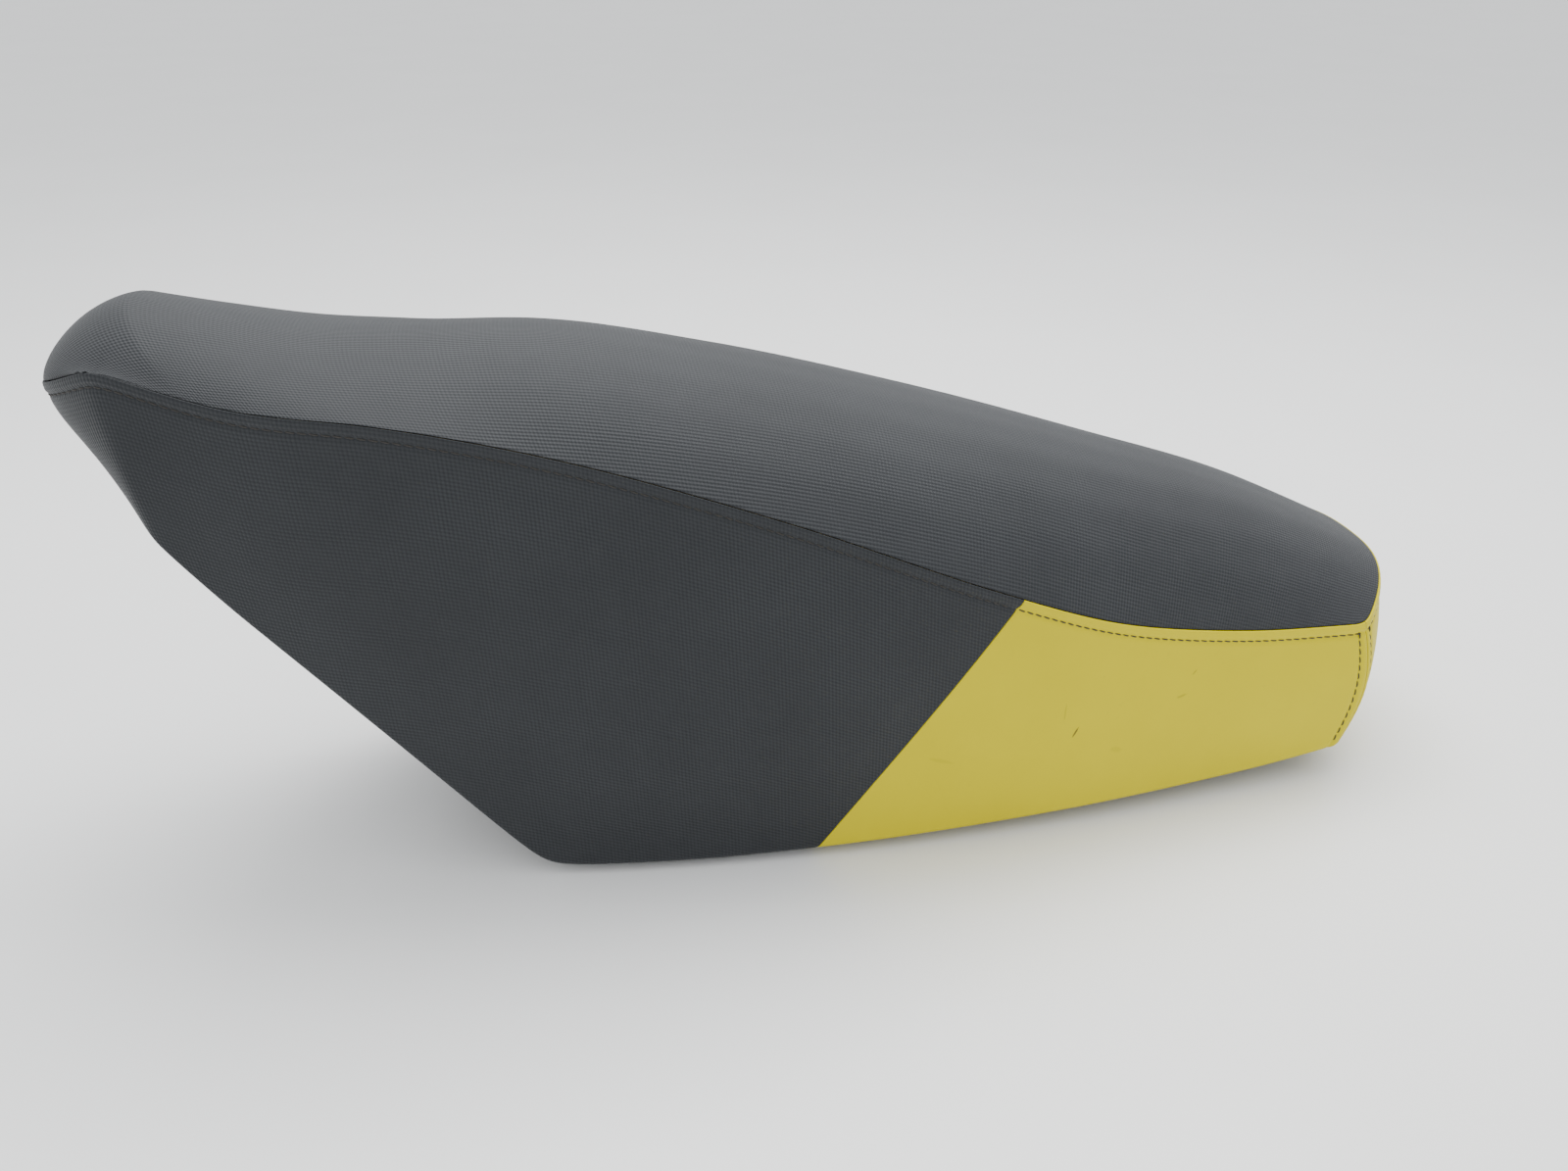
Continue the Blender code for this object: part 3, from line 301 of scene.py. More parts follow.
def hem_points(region, u, v, reach):
    """The hem: it goes under the pan's rim, then curls up a little inside it."""
    station, y = edge_plan(region, u, v)
    width = np.abs(np.where(v == 0, 1.0, y / np.where(v == 0, 1.0, v)))
    side_y = y - np.sign(y) * reach
    end_y = y * (width - reach) / width
    half_run = (EDGE_TAIL - EDGE_NOSE) / 2
    toward_middle = (EDGE_NOSE + half_run - station) / half_run
    kick = edge_kick(station)
    station = station + reach * np.cos(base_tilt(station)) * toward_middle
    curl = HEM_CURL * smoothstep((reach - HEM_FLAT) / (HEM_REACH - HEM_FLAT))
    return inside(station, np.where(region == SIDE, side_y, end_y), kick + curl)


def soften(rows, spread):
    """Gaussian smoothing of closed rows of points, with a spread in metres."""
    passes = max(1, round(2 * (spread / LOOP_STEP) ** 2))
    for _ in range(passes):
        rows = 0.5 * rows + 0.25 * (np.roll(rows, 1, axis=1) + np.roll(rows, -1, axis=1))
    return rows


def arc_length(points, axis=0):
    steps = np.linalg.norm(np.diff(points, axis=axis), axis=-1)
    start = np.zeros_like(np.take(steps, [0], axis=axis))
    return np.concatenate([start, np.cumsum(steps, axis=axis)], axis=axis)


def even_loop():
    """Loop positions spaced LOOP_STEP apart along the top seam."""
    q = np.linspace(0.0, 6.0, LOOP_SAMPLES)
    _, u, v = loop_places(q)
    run = arc_length(top_points(u, v))
    count = round(run[-1] / LOOP_STEP)
    wanted = np.linspace(0.0, run[-1], count, endpoint=False)
    return np.interp(wanted, run, q)


class Walls:
    """The side walls as closed rows of points, from the top seam down to the hem."""

    def __init__(self):
        self.q = even_loop()
        region, u, v = loop_places(self.q)
        share = np.linspace(0.0, 1.0, WALL_SAMPLES)[:, None]
        seam = top_points(u, v)
        station, y = edge_plan(region, u, v)
        edge = inside(station, y, edge_kick(station))
        push = bulge(region, u, v)
        wall = seam + (edge - seam) * share[..., None] + push * np.sin(np.pi * share)[..., None]
        reaches = np.linspace(0.0, HEM_REACH, HEM_SAMPLES + 1)[1:]
        hem = np.stack([hem_points(region, u, v, reach) for reach in reaches])
        raw = np.concatenate([wall, hem])
        weight = np.concatenate([1 - share[:, 0], np.zeros(len(reaches))])[:, None, None]
        soft = soften(raw, CORNER_SPREAD) * weight + soften(raw, EDGE_SPREAD) * (1 - weight)
        self.raw_seam = raw[0]
        self.seam_shift = soft[0] - raw[0]
        self.fill_rows(soft, len(share) - 1)
        self.count = len(self.q)
        self.groove = self.groove_direction(u, v)

    def fill_rows(self, lines, edge_row):
        """Samples every column at the wanted distances down from the seam."""
        run = arc_length(lines)
        edge_at = run[edge_row]
        shares = np.linspace(0, 1, MIDDLE_ROWS + 2)[1:-1]
        first, last = SEAM_STEPS[-1], edge_at + HEM_STEPS[0]
        wanted = [np.full_like(edge_at, step) for step in SEAM_STEPS]
        wanted += [first + (last - first) * share for share in shares]
        wanted += [edge_at + step for step in HEM_STEPS]
        self.down = np.stack(wanted)
        self.to_edge = edge_at - self.down
        self.points = sample_columns(lines, run, self.down)
        start = sample_columns(lines, run, (edge_at - EDGE_ROUND)[None])[0]
        end = sample_columns(lines, run, (edge_at + EDGE_ROUND)[None])[0]
        corner = lines[edge_row]
        k = np.clip(0.5 - self.to_edge / (2 * EDGE_ROUND), 0, 1)[..., None]
        rounded = (1 - k) ** 2 * start + 2 * k * (1 - k) * corner + k**2 * end
        near = np.abs(self.to_edge)[..., None] < EDGE_ROUND
        self.points = np.where(near, rounded, self.points)
        along = np.roll(self.points, -1, axis=1) - np.roll(self.points, 1, axis=1)
        self.normals = unit(np.cross(np.gradient(self.points, axis=0), along))
        if np.mean(self.normals[0, :, :2] * self.points[0, :, :2]) < 0:
            self.normals = -self.normals

    def groove_direction(self, u, v):
        """Into the seat, between the top panel and the wall, at each loop position."""
        inner = top_points(0.5 + (u - 0.5) * JUST_INSIDE, v * JUST_INSIDE) + self.seam_shift
        seam = self.points[0]
        along = np.roll(seam, -1, axis=0) - np.roll(seam, 1, axis=0)
        top = unit(np.cross(inner - seam, along))
        top *= np.where(top[:, 2:] < 0, -1.0, 1.0)
        return unit(-(top + self.normals[0]))

    def place_of(self, u):
        """Loop distance of a point on the -Y side, from its u."""
        return np.interp(u + 1, self.q, np.arange(self.count) * LOOP_STEP)

    def sample(self, values, places):
        """Values of a (rows, loop) field at loop distances given for every row."""
        index = places / LOOP_STEP
        low = np.floor(index).astype(int)
        part = index - low
        if values.ndim == 3:
            part = part[..., None]
        rows = np.arange(len(values))[:, None]
        return (values[rows, low % self.count] * (1 - part)
                + values[rows, (low + 1) % self.count] * part)


def sample_columns(lines, run, wanted):
    """Points on each column of lines at the wanted lengths along it."""
    made = np.empty((*wanted.shape, 3))
    for column in range(lines.shape[1]):
        for axis in range(3):
            made[:, column, axis] = np.interp(
                wanted[:, column], run[:, column], lines[:, column, axis])
    return made


# ---- relief of the sewn edges ----

def rolled(distance, radius):
    """0 at a folded edge, 1 beyond its radius, round in between."""
    return np.sqrt(1 - (1 - np.clip(distance / radius, 0, 1)) ** 2)


def stitched_edge(distance, along, row, rise):
    """Height of a folded and top-stitched edge; the stitches pull it down in holes."""
    hold = 1 - smoothstep((distance - FOLD_HOLD * row) / ((1 - FOLD_HOLD) * row))
    hole = 0.5 + 0.5 * np.cos(2 * np.pi * along / STITCH_PITCH)
    dip = np.exp(-(((distance - row) / DIP_WIDTH) ** 2))
    ridge = rise * rolled(distance, FOLD_ROLL) * hold * (1 - FOLD_PINCH * hole)
    return ridge - STITCH_DIP * dip * (DIP_BETWEEN + (1 - DIP_BETWEEN) * hole)


def plain_edge(distance):
    """Height beside a plain seam: the panel rolls down into it."""
    return -PLAIN_DROP * (1 - rolled(distance, PLAIN_ROLL))


# ---- meshes ----

SEAT_CENTRE = Vector((0.0, 0.0, 0.15))


def strip_faces(table, closed):
    """Faces between the rows of a table of vertex numbers; closed rows meet themselves."""
    after = np.roll(table, -1, axis=1)
    faces = np.stack([table[:-1], after[:-1], after[1:], table[1:]], -1)
    return (faces if closed else faces[:, :-1]).reshape(-1, 4).tolist()


def make_mesh(name, points, faces, uv=None):
    mesh = bpy.data.meshes.new(name)
    mesh.from_pydata([tuple(point) for point in points], [], faces)
    if uv is not None:
        layer = mesh.uv_layers.new(name="cloth")
        corners = np.empty(len(mesh.loops), np.int32)
        mesh.loops.foreach_get("vertex_index", corners)
        layer.data.foreach_set("uv", np.asarray(uv, np.float32)[corners].ravel())
    mesh.shade_smooth()
    return mesh


def edited(mesh, change):
    """Runs change on the mesh as a bmesh, and returns the mesh."""
    build = bmesh.new()
    build.from_mesh(mesh)
    change(build)
    build.to_mesh(mesh)
    build.free()
    return mesh


def face_outwards(build):
    """Makes each closed shell's faces point out."""
    bmesh.ops.recalc_face_normals(build, faces=build.faces)


def add_object(name, data):
    item = bpy.data.objects.new(name, data)
    bpy.context.scene.collection.objects.link(item)
    return item


def bare_copy(node, name):
    """A renamed copy of a CAD node's mesh, without its materials."""
    mesh = NODES[node].data.copy()
    mesh.name = name
    mesh.materials.clear()
    return mesh


def dress(piece, finish, slot, stands_for=(), rides=True):
    """Gives a piece its finish and its body, and hides the CAD nodes it stands for; slot is not
    used.
    """
    piece.data.materials.append(finish)
    if rides:
        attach(piece, BODY)
    if stands_for:
        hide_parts(*stands_for)
    return piece


def add_piece(name, mesh, *dressing, **more):
    return dress(add_object(name, mesh), *dressing, **more)


def face_from_centre(build):
    """Makes an open sheet's faces point away from the middle of the seat."""
    face_outwards(build)
    score = sum(face.normal.dot(face.calc_center_median() - SEAT_CENTRE) * face.calc_area()
                for face in build.faces)
    if score < 0:
        bmesh.ops.reverse_faces(build, faces=build.faces)


def edge_chain(grid, closed):
    """Vertex numbers round a grid, or from its last row round its first and back."""
    if closed:
        parts = grid[0], grid[1:, -1], grid[-1, -2::-1], grid[-2:0:-1, 0]
    else:
        parts = grid[:0:-1, 0], grid[0], grid[1:, -1]
    return np.concatenate(parts)


def sheet_piece(name, points, uv, directions, closed, finish, slot, stands_for):
    """A vinyl panel with its seam allowance turned in: all round if it is closed, and
    otherwise along its first row and both sides."""
    flat = points.reshape(-1, 3)
    grid = np.arange(len(flat)).reshape(points.shape[:2])
    chain = edge_chain(grid, closed)
    inwards = directions.reshape(-1, 3)[chain]
    levels = [flat[chain] + inwards * depth for depth in ALLOWANCE]
    numbers = len(flat) + np.arange(len(levels) * len(chain)).reshape(len(levels), -1)
    faces = strip_faces(grid, False) + strip_faces(np.vstack([chain, numbers]), closed)
    flat_uv = uv.reshape(-1, 2)
    all_uv = np.concatenate([flat_uv] + [flat_uv[chain]] * len(levels))
    mesh = make_mesh(name, np.concatenate([flat] + levels), faces, all_uv)
    piece = add_piece(name, edited(mesh, face_from_centre), finish, slot, stands_for)
    thick = piece.modifiers.new("thickness", "SOLIDIFY")
    thick.thickness = VINYL
    thick.offset = -1.0


def wire_faces(rings, sides, base):
    """Faces of a closed wire: its rings of vertices follow each other from base on."""
    table = base + np.arange(rings * sides).reshape(rings, sides)
    return strip_faces(table, True) + [table[0, ::-1].tolist(), table[-1].tolist()]


def mirrored(points):
    return points * np.array([1.0, -1.0, 1.0])


# ---- foam, and the swell that its simulation gives the cover ----

def point_tree(points):
    tree = KDTree(len(points))
    for index, point in enumerate(points):
        tree.insert(point, index)
    tree.balance()
    return tree


def vertex_array(mesh):
    flat = np.empty(len(mesh.vertices) * 3)
    mesh.vertices.foreach_get("co", flat)
    return flat.reshape(-1, 3)


def remeshed_foam():
    """A copy of the foam's CAD solid with even, fine faces."""
    foam = add_object("foam_block", bare_copy("foam_core", "foam_block"))
    remesh = foam.modifiers.new("even", "REMESH")
    remesh.mode = "VOXEL"
    remesh.voxel_size = VOXEL
    graph = bpy.context.evaluated_depsgraph_get()
    made = bpy.data.meshes.new_from_object(foam.evaluated_get(graph))
    foam.modifiers.clear()
    foam.data = made
    return foam


def pin_weights(points, seams, rim):
    """1 at the seams and the pan's rim, 0 in the middle of a panel."""
    near = np.array([min(seams.find(point)[2], rim.find(point)[2]) for point in points])
    return 1 - np.clip(near / PIN_REACH - 0.5, 0, 1)


def simulate(foam, weights):
    """Blows the foam's skin up a little with its seams held, and returns how it moved."""
    group = foam.vertex_groups.new(name="held")
    for index, weight in enumerate(weights):
        if weight > 0:
            group.add([index], float(weight), "REPLACE")
    cloth = foam.modifiers.new("swell", "CLOTH")
    settings = cloth.settings
    settings.vertex_group_mass = "held"
    settings.use_pressure = True
    settings.uniform_pressure_force = PRESSURE
    settings.effector_weights.gravity = 0.0
    settings.tension_stiffness = STRETCH_STIFFNESS
    settings.compression_stiffness = STRETCH_STIFFNESS
    settings.bending_stiffness = BEND_STIFFNESS
    cloth.point_cache.frame_start = 1
    cloth.point_cache.frame_end = LAST_FRAME
    scene = bpy.context.scene
    for number in range(1, LAST_FRAME + 1):
        scene.frame_set(number)
    graph = bpy.context.evaluated_depsgraph_get()
    moved = vertex_array(foam.evaluated_get(graph).data)
    foam.modifiers.clear()
    foam.vertex_groups.clear()
    scene.frame_set(1)
    return moved - vertex_array(foam.data)


def capped(moves):
    size = np.linalg.norm(moves, axis=1, keepdims=True)
    return moves * np.minimum(1.0, SWELL_CAP / np.maximum(size, 1e-9))


class Swell:
    """The foam's movement as a field that the cover's panels can look up."""

    def __init__(self, points, moves):
        self.tree = point_tree(points)
        self.moves = moves

    def at(self, points):
        found = np.empty_like(points)
        for index, point in enumerate(points):
            total, weight_sum = np.zeros(3), 0.0
            for _, near, distance in self.tree.find_n(point, NEIGHBOURS):
                weight = 1 / (distance + 1e-4) ** 2
                total += self.moves[near] * weight
                weight_sum += weight
            found[index] = total / weight_sum
        return found


def make_foam(walls, finish):
    foam = remeshed_foam()
    points = vertex_array(foam.data)
    moves = np.zeros_like(points)
    seams = point_tree(walls.points[0][::PIN_EVERY])
    rim = point_tree(walls.points[-len(HEM_STEPS)][::PIN_EVERY])
    moves = capped(simulate(foam, pin_weights(points, seams, rim)))
    foam.data.vertices.foreach_set("co", (points + moves * SWELL_SHARE).ravel())
    foam.data.shade_smooth()
    dress(foam, finish, "foam", ["foam_core"])
    return Swell(points, moves)


def divide(build):
    """Splits every edge in two, and leaves triangles."""
    bmesh.ops.subdivide_edges(build, edges=build.edges, cuts=1, use_grid_fill=True)
    bmesh.ops.triangulate(build, faces=build.faces)


def make_film(swell, finish):
    """The moisture barrier between foam and cover; it follows the foam's swell."""
    mesh = edited(bare_copy("moisture_barrier", "moisture_film"), divide)
    points = vertex_array(mesh)
    mesh.vertices.foreach_set("co", (points + swell.at(points) * FILM_SHARE).ravel())
    mesh.shade_smooth()
    add_piece("moisture_film", mesh, finish, "film", ["moisture_barrier"])


# ---- panels ----

def seam_distance(points, walls):
    """Distance to the top seam and loop distance of its nearest point."""
    seam = walls.raw_seam
    tree = point_tree(seam)
    distance = np.empty(len(points))
    place = np.empty(len(points))
    for index, point in enumerate(points):
        _, near, _ = tree.find(point)
        best = None
        for first in (near - 1, near):
            a, b = seam[first % walls.count], seam[(first + 1) % walls.count]
            step = b - a
            part = min(1.0, max(0.0, float(np.dot(point - a, step) / np.dot(step, step))))
            gap = float(np.linalg.norm(point - a - step * part))
            if best is None or gap < best[0]:
                best = (gap, (first + part) * LOOP_STEP)
        distance[index], place[index] = best
    return distance, place


def grid_normals(points):
    """Outward normals of a grid of points on the top of the seat."""
    normals = unit(np.cross(np.gradient(points, axis=0), np.gradient(points, axis=1)))
    if np.mean(normals[..., 2]) < 0:
        normals = -normals
    return normals


def top_grid():
    """Sample points of the top panel, finer beside its seams."""
    u = np.linspace(0.0, 1.0, TOP_SAMPLES[0])
    run = arc_length(top_points(u, 0 * u))
    inner = np.linspace(SEAM_STEPS[-1], run[-1] - SEAM_STEPS[-1],
                        round(run[-1] / ALONG_STEP))[1:-1]
    wanted = np.concatenate([SEAM_STEPS, inner, run[-1] - np.array(SEAM_STEPS)[::-1]])
    chosen = np.interp(wanted, run, u)
    v = np.sin(np.linspace(-np.pi / 2, np.pi / 2, TOP_SAMPLES[1]))
    rows, across = [], []
    for one in chosen:
        line = top_points(np.full_like(v, one), v)
        length = arc_length(line)
        steps = np.array(SEAM_STEPS)
        middle = np.linspace(steps[-1], length[-1] - steps[-1], ACROSS_STEPS)[1:-1]
        at = np.concatenate([steps, middle, length[-1] - steps[::-1]])
        rows.append(top_points(np.full_like(at, one), np.interp(at, length, v)))
        across.append(at - length[-1] / 2)
    uv = np.stack([np.repeat(wanted[:, None], len(at), 1), np.array(across)], -1)
    return np.array(rows), uv


def seam_eased_top(walls):
    """The top panel's grid with its edges moved onto the softened seam."""
    points, uv = top_grid()
    flat = points.reshape(-1, 3)
    distance, place = seam_distance(flat, walls)
    index = np.round(place / LOOP_STEP).astype(int) % walls.count
    ease = np.exp(-((distance / SEAM_EASE) ** 2))[:, None]
    flat = flat + walls.seam_shift[index] * ease
    return flat.reshape(points.shape), uv, distance.reshape(points.shape[:2]), index


def make_top(walls, swell, finish):
    points, uv, distance, index = seam_eased_top(walls)
    normals = grid_normals(points)
    relief = plain_edge(distance)
    fade = smoothstep((distance - TOP_START) / FADE_REACH)[..., None]
    moves = swell.at(points.reshape(-1, 3)).reshape(points.shape) * SWELL_SHARE * fade
    points = points + normals * relief[..., None] + moves
    sheet_piece("cover_top_panel", points, uv, walls.groove[index], True,
                finish, "dark_vinyl", ["cover_top"])


def column_places(start, end):
    """Loop distances of a panel's columns in every row, finer beside its seams."""
    steps = np.array(SEAM_STEPS)
    low = start[:, None] + steps
    high = end[:, None] - steps[::-1]
    run = np.max(end - start)
    share = np.linspace(0, 1, max(4, round(run / ALONG_STEP)))[1:-1]
    first, last = low[:, -1:], high[:, :1]
    return np.concatenate([low, first + (last - first) * share, high], axis=1)


def wall_panel(walls, swell, start, end, stitched, mirror):
    """Points, loop distances and normals of one wall panel between two upright seams;
    stitched says of its start and its end whether that seam is top-stitched."""
    places = column_places(start, end)
    grooves = np.repeat(walls.groove[None], len(walls.points), 0)
    fields = (walls.points, walls.normals, walls.down, walls.to_edge, grooves)
    points, normals, down, to_edge, groove = (walls.sample(field, places) for field in fields)
    relief = stitched_edge(down, places, STITCH_ROW, FOLD_RISE)
    below_fold = smoothstep((down - RELIEF_START) / RELIEF_TOP_RUN)
    above_hem = smoothstep((to_edge + RELIEF_START) / RELIEF_HEM_RUN)
    from_start, from_end = places - start[:, None], end[:, None] - places
    for has_stitches, distance in zip(stitched, (from_start, from_end)):
        if has_stitches:
            edge = stitched_edge(distance, down, CORNER_ROW, CORNER_RISE)
        else:
            edge = plain_edge(distance)
        relief = relief + edge * below_fold * above_hem
    if mirror:
        points, normals, groove = mirrored(points), mirrored(normals), mirrored(groove)
    away = np.minimum(np.minimum(from_start, from_end), down)
    fade = smoothstep((away - SEAM_START) / FADE_REACH)
    fade *= smoothstep((to_edge - TOP_START) / FADE_REACH)
    moves = swell.at(points.reshape(-1, 3)).reshape(points.shape)
    points = points + normals * relief[..., None] + moves * (SWELL_SHARE * fade[..., None])
    return {"points": points, "normals": normals, "places": places, "down": down,
            "groove": groove}


def make_wall(name, panel, finish, slot, stands_for):
    directions = -panel["normals"]
    directions[0] = panel["groove"][0]
    uv = np.stack([panel["places"], panel["down"]], -1)
    sheet_piece(name, panel["points"], uv, directions, False, finish, slot, stands_for)


# ---- stitches ----

STITCH_RINGS = 7
STITCH_SIDES = 6
STITCH_SINK = 0.0005
STITCH_PROUD = 0.0005
STITCH_ARCH = 0.35  # power of the sine it arches by: a low one is flat on top
STITCH_NECK = 0.75  # share of its thickness that is left at its ends
STITCH_SLANT = 0.00035  # each stitch runs a little across its row
FIRST_ROW = 2  # rows of a corner's stitches: they start this far down a wall
LAST_ROW = 3  # and end this far into the hem's rows
STITCH_INSET = 0.06  # share of the pitch between a hole and its thread


def stitch_mesh(name, starts, ends, normals):
    """One closed thread per stitch: it dives into the vinyl at both ends."""
    t = np.linspace(0, 1, STITCH_RINGS)[None, :, None]
    arch = np.sin(np.pi * t) ** STITCH_ARCH
    centres = starts[:, None] * (1 - t) + ends[:, None] * t
    centres = centres + normals[:, None] * (arch * (STITCH_SINK + STITCH_PROUD) - STITCH_SINK)
    forward = unit(ends - starts)[:, None, None]
    up = normals[:, None, None]
    across = unit(np.cross(np.broadcast_to(forward, up.shape), up))
    angle = np.linspace(0, 2 * np.pi, STITCH_SIDES, endpoint=False)[None, None, :, None]
    ring = across * np.cos(angle) + up * np.sin(angle)
    width = THREAD * (STITCH_NECK + (1 - STITCH_NECK) * np.sin(np.pi * t))[..., None]
    points = centres[:, :, None] + ring * width
    faces = []
    size = STITCH_RINGS * STITCH_SIDES
    for stitch in range(len(starts)):
        faces += wire_faces(STITCH_RINGS, STITCH_SIDES, stitch * size)
    return edited(make_mesh(name, points.reshape(-1, 3), faces), face_outwards)


def interpolated(at, known, values):
    return np.stack([np.interp(at, known, values[:, axis]) for axis in range(3)], -1)


def stitches_along(panel, at, before, after, length):
    """Starts, ends and normals of the stitches on one line of a panel's grid, between the
    lines before and after it; the field called length gives the stitches their phase."""
    points, measure = panel["points"], panel[length][at]
    across = unit(points[after] - points[before])
    first = math.ceil(measure[0] / STITCH_PITCH)
    last = math.floor(measure[-1] / STITCH_PITCH)
    holes = np.arange(first, last + 1) * STITCH_PITCH
    inset = STITCH_PITCH * STITCH_INSET
    start_at, end_at = holes[:-1] + inset, holes[1:] - inset
    starts = interpolated(start_at, measure, points[at] - STITCH_SLANT * across)
    ends = interpolated(end_at, measure, points[at] + STITCH_SLANT * across)
    normals = interpolated((start_at + end_at) / 2, measure, panel["normals"][at])
    return starts, ends, unit(normals)


def top_stitches(panel):
    row = SEAM_STEPS.index(STITCH_ROW)
    return stitches_along(panel, row, row - 1, row + 1, "places")


def corner_stitches(panel, at_end):
    """A stitch row beside an upright corner seam, from the fold down to the edge."""
    number = SEAM_STEPS.index(CORNER_ROW)
    column = panel["points"].shape[1] - 1 - number if at_end else number
    rows = slice(FIRST_ROW, len(panel["points"]) - len(HEM_STEPS) + LAST_ROW)
    return stitches_along(panel, (rows, column), (rows, column - 1), (rows, column + 1), "down")


def add_stitches(name, groups, finish):
    starts, ends, normals = (np.concatenate(part) for part in zip(*groups))
    add_piece(name, stitch_mesh(name, starts, ends, normals), finish, "dark_vinyl")


# ---- staples ----

STAPLE_PITCH = 0.022
STAPLE_WIDTH = 0.0105
STAPLE_WIRE = 0.0004
STAPLE_LEG = 0.0020
STAPLE_INSET = 0.0047
STAPLE_TURN = 0.22  # in radians, the most that one is skewed
STAPLE_JITTER = 0.002  # along the hem
STAPLE_LIFT = 0.6  # the crown's middle stands this many wire radii off the vinyl
STAPLE_SIDES = 6
STAPLE_SEED = 7
SKEW = (0.13, 0.27, 0.95)  # no staple's wire runs this way


def wire_points(path, radius):
    """Rings of points round a path."""
    path = np.array(path)
    tangent = unit(np.gradient(path, axis=0))
    side = unit(np.cross(tangent, SKEW))
    other = np.cross(tangent, side)
    angle = np.linspace(0, 2 * np.pi, STAPLE_SIDES, endpoint=False)[:, None]
    rings = side[:, None] * np.cos(angle) + other[:, None] * np.sin(angle)
    return (path[:, None] + radius * rings).reshape(-1, 3)


def staple_path(centre, forward, out):
    """Corners of a staple: its legs go into the rim, its crown lies on the vinyl."""
    half, bend = forward * STAPLE_WIDTH / 2, forward * STAPLE_WIRE
    high, low = out * STAPLE_WIRE * STAPLE_LIFT, -out * STAPLE_LEG
    knee = high - out * STAPLE_WIRE
    return [centre - half + low, centre - half + knee, centre - half + bend + high,
            centre + half - bend + high, centre + half + knee, centre + half + low]


def make_staples(walls, finish):
    """Wire staples that hold the hem to the pan's rim."""
    draw = random.Random(STAPLE_SEED)
    hem = len(walls.points) - len(HEM_STEPS)
    edge_rows = walls.points[hem:]
    edge_normals = walls.normals[hem:]
    row = min(range(len(HEM_STEPS)), key=lambda k: abs(HEM_STEPS[k] - STAPLE_INSET))
    line, normals = edge_rows[row], edge_normals[row]
    run = arc_length(line)
    points, faces = [], []
    place = STAPLE_PITCH / 2
    while place < run[-1] - STAPLE_PITCH / 2:
        at = place + draw.uniform(-STAPLE_JITTER, STAPLE_JITTER)
        centre = interpolated([at], run, line)[0]
        ahead = interpolated([at + STAPLE_JITTER], run, line)[0]
        out = unit(interpolated([at], run, normals)[0])
        forward = unit(ahead - centre)
        sideways = np.cross(out, forward)
        turn = draw.uniform(-STAPLE_TURN, STAPLE_TURN)
        forward = forward * math.cos(turn) + sideways * math.sin(turn)
        path = staple_path(centre, forward, out)
        faces += wire_faces(len(path), STAPLE_SIDES, len(points))
        points.extend(wire_points(path, STAPLE_WIRE))
        place += STAPLE_PITCH
    mesh = make_mesh("hem_staples", points, faces)
    add_piece("hem_staples", mesh, finish, "bare_steel")


# ---- the latch's torsion spring ----

COIL_SIDE = -0.0077  # the coils end before this place across the seat


def cut_wire(name, side):
    """The spring's wire on one side of a plane beside its coils, with the cut closed."""
    def cut(build):
        bmesh.ops.remove_doubles(build, verts=build.verts, dist=1e-6)
        made = bmesh.ops.bisect_plane(
            build, geom=build.verts[:] + build.edges[:] + build.faces[:], dist=1e-6,
            plane_co=(0, COIL_SIDE, 0), plane_no=(0, side, 0), clear_outer=True)
        rim = [item for item in made["geom_cut"] if isinstance(item, bmesh.types.BMEdge)]
        bmesh.ops.holes_fill(build, edges=rim)
        face_outwards(build)
    return edited(bare_copy("latch_spring", name), cut)


def make_spring(finish):
    """The wire is cut beside its coils: the short leg stays beside the bracket and rides with
    the seat; the coils are left off the seat's body.
    """
    stands_for = ["latch_spring"]
    add_piece("spring_leg", cut_wire("spring_leg", 1), finish, "bare_steel", stands_for)
    coils = add_piece("spring_coils", cut_wire("spring_coils", -1), finish, "bare_steel",
                      stands_for, rides=False)
    points = vertex_array(coils.data)
    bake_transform(coils)


# ---- materials ----

DARK_VINYL = (0.0075, 0.0090, 0.0115), (0.012, 0.0135, 0.016)
# colour of the weave's raised threads: partly dust, partly a painted highlight
DARK_DUST_AND_HIGHLIGHT = (0.052, 0.057, 0.062)
YELLOW_VINYL = (0.545, 0.458, 0.000), (0.595, 0.505, 0.000)
GRIME_COLOUR = (0.30, 0.26, 0.08)
SCUFF_COLOUR = (0.050, 0.040, 0.020)
THREAD_FIBRE = (0.012, 0.011, 0.010), (0.045, 0.040, 0.034)
FOAM = (0.62, 0.50, 0.25), (0.76, 0.65, 0.38)
FILM = (0.70, 0.74, 0.77), (0.85, 0.88, 0.90)
PAN = (0.016, 0.016, 0.017), (0.030, 0.030, 0.031)
RUBBER = (0.016, 0.016, 0.016), (0.032, 0.031, 0.030)
GRIP = (0.018, 0.018, 0.020), (0.034, 0.034, 0.036)
STEEL = (0.40, 0.41, 0.42), (0.60, 0.61, 0.62)
ZINC = (0.52, 0.50, 0.42), (0.70, 0.69, 0.62)
FLOOR = (0.84, 0.84, 0.83), (0.90, 0.90, 0.89)


def new_material(name):
    made = bpy.data.materials.new(name)
    made.use_nodes = True
    return made, made.node_tree, made.node_tree.nodes["Principled BSDF"]


def connect(tree, node, inputs):
    """Links a node's inputs to sockets, or sets them to plain values."""
    for key, value in inputs.items():
        if isinstance(value, bpy.types.NodeSocket):
            tree.links.new(value, node.inputs[key])
        else:
            node.inputs[key].default_value = value


def add_node(tree, kind, inputs):
    node = tree.nodes.new("ShaderNode" + kind)
    connect(tree, node, inputs)
    return node


def calculate(tree, operation, first, second=0.0, third=0.0):
    node = tree.nodes.new("ShaderNodeMath")
    node.operation = operation
    connect(tree, node, {0: first, 1: second, 2: third})
    return node.outputs[0]


def times(tree, first, second):
    return calculate(tree, "MULTIPLY", first, second)


def plus(tree, first, second):
    return calculate(tree, "ADD", first, second)


